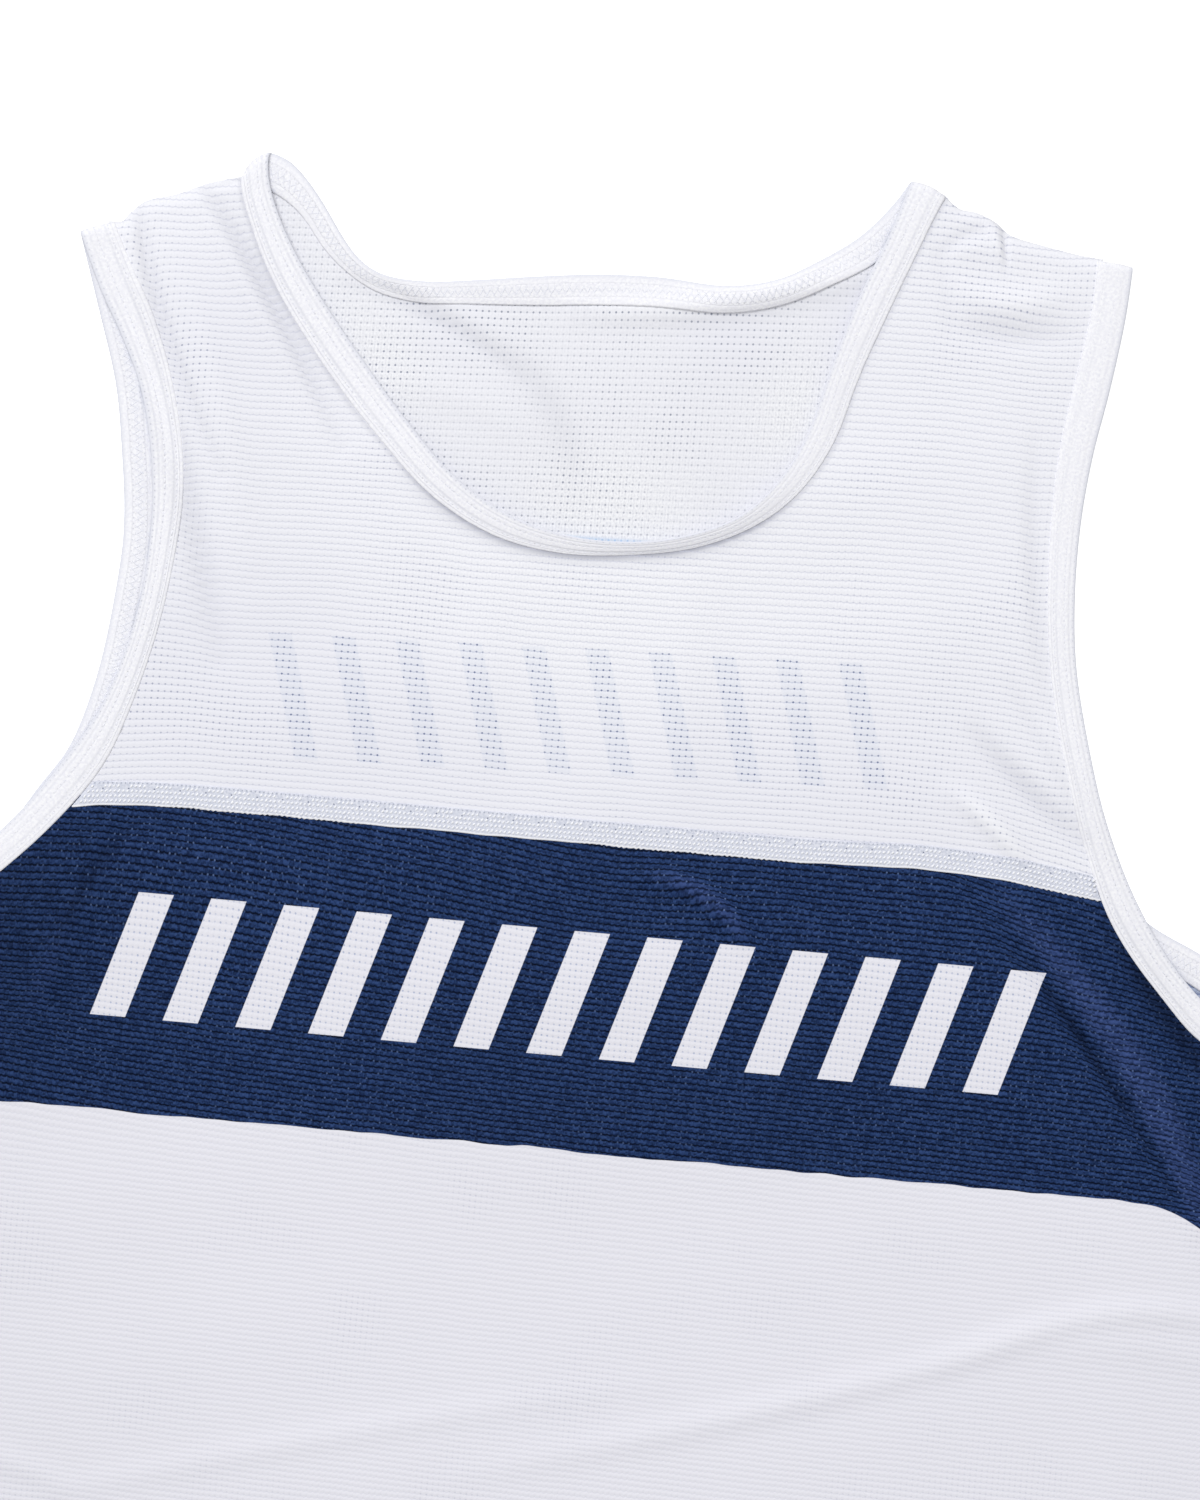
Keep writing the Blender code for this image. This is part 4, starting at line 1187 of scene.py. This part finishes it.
def makeBinding(name, shape):
    ring, normal = shape["ring"], shape["normal"]
    b = bindings
    rounding = ((acrossPlaces - b["roundFrom"]) / (1 - b["roundFrom"])).clip(0, 1)
    edge = np.sqrt(1 - rounding**2)
    half = (b["sewnHalf"] + (b["half"] - b["sewnHalf"]) * ease(acrossPlaces / b["sewnShare"])
            + (b["freeHalf"] - b["half"]) * ease((acrossPlaces - b["freeFrom"]) / b["freeRun"]))
    half *= edge
    dip = sum(np.exp(-((acrossPlaces - line) / b["stitchReach"])**2) for line in b["stitchLines"])
    drawn = np.clip(b["drawnBase"] + softPatches(ring[..., 0], ring[..., 1], b["drawnPatches"]),
                    0, 1)
    top = ring + normal * (half - b["stitchDepth"] * dip * edge * drawn)[..., None]
    low = ring - normal * half[None, :, None]
    loops = np.concatenate((top, low[:, -2::-1]), axis=1)
    rows, columns = loops.shape[:2]
    loops[..., 2] = np.maximum(loops[..., 2], 0.02)
    i, j = np.meshgrid(np.arange(rows), np.arange(columns), indexing="ij")
    after, beside = (i + 1) % rows, (j + 1) % columns
    faces = np.stack((i * columns + j, after * columns + j, after * columns + beside,
                      i * columns + beside), axis=-1).reshape(-1, 4)
    middle = ring[:, len(acrossPlaces) // 2]
    along = runLength(np.vstack((middle, middle[:1])))
    across = np.concatenate((acrossPlaces, 2 - acrossPlaces[-2::-1]))
    acrossAfter = np.concatenate((across[1:], across[-1:]))
    u = np.stack((along[i], along[i + 1], along[i + 1], along[i]), axis=-1).reshape(-1, 4)
    v = np.stack((across[j], across[j], acrossAfter[j], acrossAfter[j]), axis=-1).reshape(-1, 4)
    # the back of the ring is shaded where the front's free edge lies over it
    first, count = shape["backStart"], shape["backCount"]
    overEdge = ring[:shape["frontCount"], -1]
    back = loops[first:first + count]
    gap = lineDistance(back[..., 0], back[..., 1], overEdge[:, :2])
    fade = ease(np.minimum(np.arange(count), np.arange(count)[::-1]) / b["coverFade"])[:, None]
    covered = np.zeros((rows, columns))
    covered[first:first + count] = fade * (b["coverShade"] * np.exp(-(gap / b["coverReach"])**2)
                                           + b["nearShade"] * np.exp(-(gap / b["nearReach"])**2))
    drawn = np.concatenate((drawn, drawn[:, -2::-1]), axis=1)
    return makeMesh(name, loops.reshape(-1, 3), faces, np.stack((u, v), axis=-1),
                    np.zeros(len(faces)), (bindingJersey,),
                    {"covered": covered.ravel(), "drawn": drawn.ravel()})


neckRing = ringOf(neckFront, neckBack, bindings["neckStand"], 2.2, 0.8)
leftRing = ringOf(leftArmFront, leftArmBack[::-1], bindings["armStand"])
rightRing = ringOf(rightArmFront, rightArmBack[::-1], bindings["armStand"])
neckBinding = makeBinding("neckBinding", neckRing)
leftArmBinding = makeBinding("leftArmBinding", leftRing)
rightArmBinding = makeBinding("rightArmBinding", rightRing)


# stitches: one is modelled, the rest are copies of it
def modelStitch():
    bpy.ops.object.select_all(action="DESELECT")
    bpy.ops.mesh.primitive_uv_sphere_add(segments=6, ring_count=5, radius=0.5)
    stitch = bpy.context.object
    bpy.ops.object.mode_set(mode="EDIT")
    bpy.ops.mesh.select_all(action="SELECT")
    bpy.ops.transform.rotate(value=math.pi / 2, orient_axis="Y", center_override=(0, 0, 0))
    bpy.ops.object.mode_set(mode="OBJECT")
    points = np.array([v.co for v in stitch.data.vertices])
    # sorted, because a new sphere's faces come in another order each time
    faces = sorted(tuple(face.vertices) for face in stitch.data.polygons)
    bpy.data.objects.remove(stitch)
    points[:, 1:] *= (1.15 - 0.6 * np.abs(points[:, :1])**1.5)   # blunt ends
    return points, faces


stitchPoints, stitchFaces = modelStitch()


def sewRows(name, places, material):
    # places: middle, direction, normal, length, width and height of each stitch, in mm
    points, faces = [], []
    for middle, direction, normal, length, width, height in places:
        side = np.cross(normal, direction)
        basis = np.stack((direction * length, side * width, normal * height))
        faces += [tuple(i + len(points) * len(stitchPoints) for i in face) for face in stitchFaces]
        points.append(middle + stitchPoints @ basis)
    print(name, "sewn:", len(places), "stitches")
    return addPiece(name, np.vstack(points), faces, (material,))


def rowAlong(path, normals, pitch, length, width, height, turn=0.0):
    # stitches at an even pitch along a path; turn slants them, every second one the other way
    run = runLength(path)
    count = int(run[-1] / pitch)
    result = []

    def reading(at, values):
        return np.array([np.interp(at, run, column) for column in values.T])

    for n in range(count):
        at = (n + 0.5) * run[-1] / count
        middle = reading(at, path)
        normal = unit(reading(at, normals))
        direction = unit(reading(at + 0.4, path) - middle)
        side = np.cross(normal, direction)
        sign = 1 if n % 2 else -1
        lean = unit(direction * math.cos(turn) + sign * side * math.sin(turn))
        result.append((middle, lean, normal, length, width, height))
    return result


sewing = {   # pitch, length, width and height of the stitches
    "row": (2.3, 1.75, 0.42, 0.34),
    "zigzag": (1.2, 4.1, 0.45, 0.11),
    "zigzagShare": 0.5,
    "zigzagTurn": 1.0,
    "hem": (2.4, 1.9, 0.42, 0.34),
    "hemRises": (18.0, 12.4),
    "hemReach": 245,
    "sink": 0.02,
}


def bindingStitches(name, shape):
    # two rows all round, and a zigzag on the inside of the back
    ring, normal = shape["ring"], shape["normal"]
    depth = bindings["half"] - bindings["stitchDepth"] - sewing["sink"]
    places = []
    for line in bindings["stitchLines"]:
        at = int(np.abs(acrossPlaces - line).argmin())
        normals = np.vstack((normal[:, at], normal[:1, at]))
        path = np.vstack((ring[:, at], ring[:1, at])) + normals * depth
        places += rowAlong(path, normals, *sewing["row"])
    middle = int(np.abs(acrossPlaces - sewing["zigzagShare"]).argmin())
    back = slice(shape["backStart"], shape["backStart"] + shape["backCount"])
    inner = -normal[back, middle]
    path = ring[back, middle] + inner * (bindings["half"] - 0.01)
    places += rowAlong(path, inner, *sewing["zigzag"], sewing["zigzagTurn"])
    return sewRows(name, places, threadWhite)


neckStitches = bindingStitches("neckStitches", neckRing)
leftArmStitches = bindingStitches("leftArmStitches", leftRing)
rightArmStitches = bindingStitches("rightArmStitches", rightRing)


# chest tapes
tape = {
    "lift": 0.62,          # its middle lies this far above the middle of the panels
    "wall": 0.45,
    "step": 0.8,
    "across": (0.0, 0.04, 0.2, 0.4, 0.6, 0.8, 0.96, 1.0),
    "edgeDrop": 0.10,
    "endTuck": 2.2,        # its ends lie this far inside the armhole bindings
    "endDrop": 0.75,
    "endRun": 5.0,
    "scallop": 0.24,
    "beadPitch": 1.45,
    "beadRows": 4,
    "lip": 0.6,            # smooth edge below the beads
    "beadSlant": math.radians(50),
    "beadLength": 1.32,
    "beadWidth": 0.74,
    "beadHeight": 0.40,
    "beadGap": 8.6,        # the upper row of beads has a gap every so far along
    "beadWobble": 0.12,
    "beadInset": 3.5,      # the beads stop this far before the tape's ends
}


def tapeGrid(armRows, seamLine, height, sign):
    # sign is 1 above the panels and -1 below them
    t = tape
    lines = []
    for share in t["across"]:
        rise = share * outline["seamWidth"]
        ends = [tucked(rows, np.array([crossing(rows, seamLine, rise)]), t["endTuck"])[0, 0]
                for rows in armRows]
        x = np.linspace(ends[0], ends[1], int(340 / t["step"]))
        wave = t["scallop"] * np.sin(2 * np.pi * x / t["beadPitch"]) * ease(np.sin(x / 23.0) + 0.4)
        slip = 0.14 * np.sin(x / 3.1) * np.sin(x / 11.0 + 1) + 0.10 * np.sin(x / 7.3 + 2)
        y = seamHeight(seamLine, x) + rise + (wave + slip) * (1 - share)
        drop = t["edgeDrop"] if share in (0.0, 1.0) else 0.0
        toEnd = np.minimum(x - ends[0], ends[1] - x)
        under = t["endDrop"] * (1 - ease(toEnd / t["endRun"]))
        lines.append(np.column_stack((x, y, height(x, y) + sign * (t["lift"] - drop - under))))
    return np.stack(lines)


def makeTape(name, grid):
    shares = np.broadcast_to(np.array(tape["across"])[:, None], grid.shape[:2])
    return clothShell(name, grid, tape["wall"], (grid[..., 0], shares), (tapeBase,), {})


def beadPlaces(seamLine, height, ends):
    t = tape
    result = []
    rowGap = (outline["seamWidth"] - t["lip"] - 0.5) / t["beadRows"]
    for n in range(int((ends[1] - ends[0]) / t["beadPitch"])):
        for row in range(t["beadRows"]):
            rise = t["lip"] + (row + 0.5) * rowGap
            x = ends[0] + (n + 0.5) * t["beadPitch"] + rise / math.tan(t["beadSlant"]) * 0.8
            if row == t["beadRows"] - 1 and (x % t["beadGap"]) < 2 * t["beadPitch"]:
                continue
            if not ends[0] + 0.8 < x < ends[1] - 0.8:
                continue
            across = np.array([x - 0.5, x, x + 0.5])
            y = seamHeight(seamLine, across) + rise
            z = height(across, y) + (t["lift"] + t["wall"] / 2 + 0.05)
            along = unit(np.array((1.0, y[2] - y[0], z[2] - z[0])))
            normal = unit(np.cross(along, (0.0, 1.0, 0.0)))
            side = unit(np.cross(normal, along))
            wobble = t["beadWobble"] * math.sin(n * 2.4 + row * 1.7)
            lean = t["beadSlant"] + wobble
            direction = along * math.cos(lean) + side * math.sin(lean)
            result.append((np.array((x, y[1], z[1])), direction, normal,
                           t["beadLength"] * (1 + 0.8 * wobble), t["beadWidth"], t["beadHeight"]))
    return result


frontTapeGrid = tapeGrid(frontArms, frontSeamLine, frontHeight, 1)
frontTape = makeTape("frontTape", frontTapeGrid)
frontTapeEnds = (frontTapeGrid[0, 0, 0] + tape["beadInset"],
                 frontTapeGrid[0, -1, 0] - tape["beadInset"])
frontTapeBeads = sewRows("frontTapeBeads",
                         beadPlaces(frontSeamLine, frontHeight, frontTapeEnds), tapeThread)


def backTapeHeight(x, y):
    return np.full_like(x, surface["backTapeMid"])


backTape = makeTape("backTape", tapeGrid(backArms, backSeamLine, backTapeHeight, -1))

# hem
hemX = np.linspace(-sewing["hemReach"], sewing["hemReach"], 260)
hemNormals = np.tile((0.0, 0.0, 1.0), (len(hemX), 1))
hemPlaces = []
for rise in sewing["hemRises"]:
    y = outline["hemY"] + hemBow(hemX) + rise
    z = frontHeight(hemX, y) + panels["hemLift"] + (panels["hemWall"] / 2 + sewing["sink"])
    path = np.column_stack((hemX, y, rollShut(hemX, y, z, sides)))
    hemPlaces += rowAlong(path, hemNormals, *sewing["hem"])
frontHemStitches = sewRows("frontHemStitches", hemPlaces, threadWhite)

# what stands for what
newPieces = (
    (frontYoke, "white_mesh", "front_yoke"),
    (backYoke, "white_mesh", "back_yoke"),
    (frontBody, "banded_mesh", "front_body"),
    (backBody, "banded_mesh", "back_body"),
    (frontTape, "seam_stitch", "front_seam"),
    (backTape, "seam_stitch", "back_seam"),
    (neckBinding, "binding", "neck_binding"),
    (leftArmBinding, "binding", "armhole_binding_left"),
    (rightArmBinding, "binding", "armhole_binding_right"),
    (frontTapeBeads, "seam_stitch"),
    (neckStitches, "binding"),
    (leftArmStitches, "binding"),
    (rightArmStitches, "binding"),
    (frontHemStitches, "seam_stitch"),
)
for piece, slotName, *nodes in newPieces:
    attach(piece, "root")
    if nodes:
        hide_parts(*nodes)

# floor, light and camera
studio = {
    "floorSize": 8.0,
    "keyEnergy": 155.5,
    "keySize": 2.6,
    "keyPlace": (-1.4, 2.5, 4.1),
    "skyStrength": 0.50,
    "cameraPlace": (0.0034, 0.1450),
    "cameraHeight": 2.0,
    "frameHeight": 0.5025,
    "cameraRoll": 5.1,
    "floorGlow": 0.7,
    "keyAim": (0.0, 0.1, 0.0),
}
bpy.ops.object.select_all(action="DESELECT")
bpy.ops.mesh.primitive_plane_add(size=studio["floorSize"], location=(0, 0, -0.0004))
floor = bpy.context.object
floor.name = "floor"
floor.visible_diffuse = False   # keeps its glow off the edges of the cloth
floorFinish = Finish("floorPaper")
floorGrain = floorFinish.noise(floorFinish.spot(), 40.0, 2.0)
floor.data.materials.append(floorFinish.paint(
    floorFinish.mix(floorGrain, (0.97, 0.97, 0.97, 1), (0.985, 0.985, 0.985, 1)), 0.9,
    Specular_IOR_Level=0.0, Emission_Color=(1, 1, 1, 1), Emission_Strength=studio["floorGlow"]))

world = bpy.data.worlds.new("studio")
bpy.context.scene.world = world
world.use_nodes = True
world.node_tree.nodes["Background"].inputs["Color"].default_value = (1.0, 1.0, 1.0, 1)
world.node_tree.nodes["Background"].inputs["Strength"].default_value = studio["skyStrength"]

bpy.ops.object.light_add(type="AREA", location=studio["keyPlace"])
key = bpy.context.object
key.name = "softbox"
key.data.size = studio["keySize"]
key.data.energy = studio["keyEnergy"]
ahead = np.array(studio["keyAim"]) - np.array(studio["keyPlace"])
key.rotation_euler = (math.atan2(math.hypot(ahead[0], ahead[1]), -ahead[2]), 0,
                      math.atan2(ahead[0], -ahead[1]) + math.pi)

bpy.ops.object.camera_add(location=(*studio["cameraPlace"], studio["cameraHeight"]),
                          rotation=(0, 0, math.radians(studio["cameraRoll"])))
camera = bpy.context.object
camera.data.sensor_width = 36.0
camera.data.lens = camera.data.sensor_width * studio["cameraHeight"] / studio["frameHeight"]
camera.data.clip_end = 20.0
bpy.context.scene.camera = camera
bpy.context.scene.view_settings.view_transform = "Standard"
print("studio set")
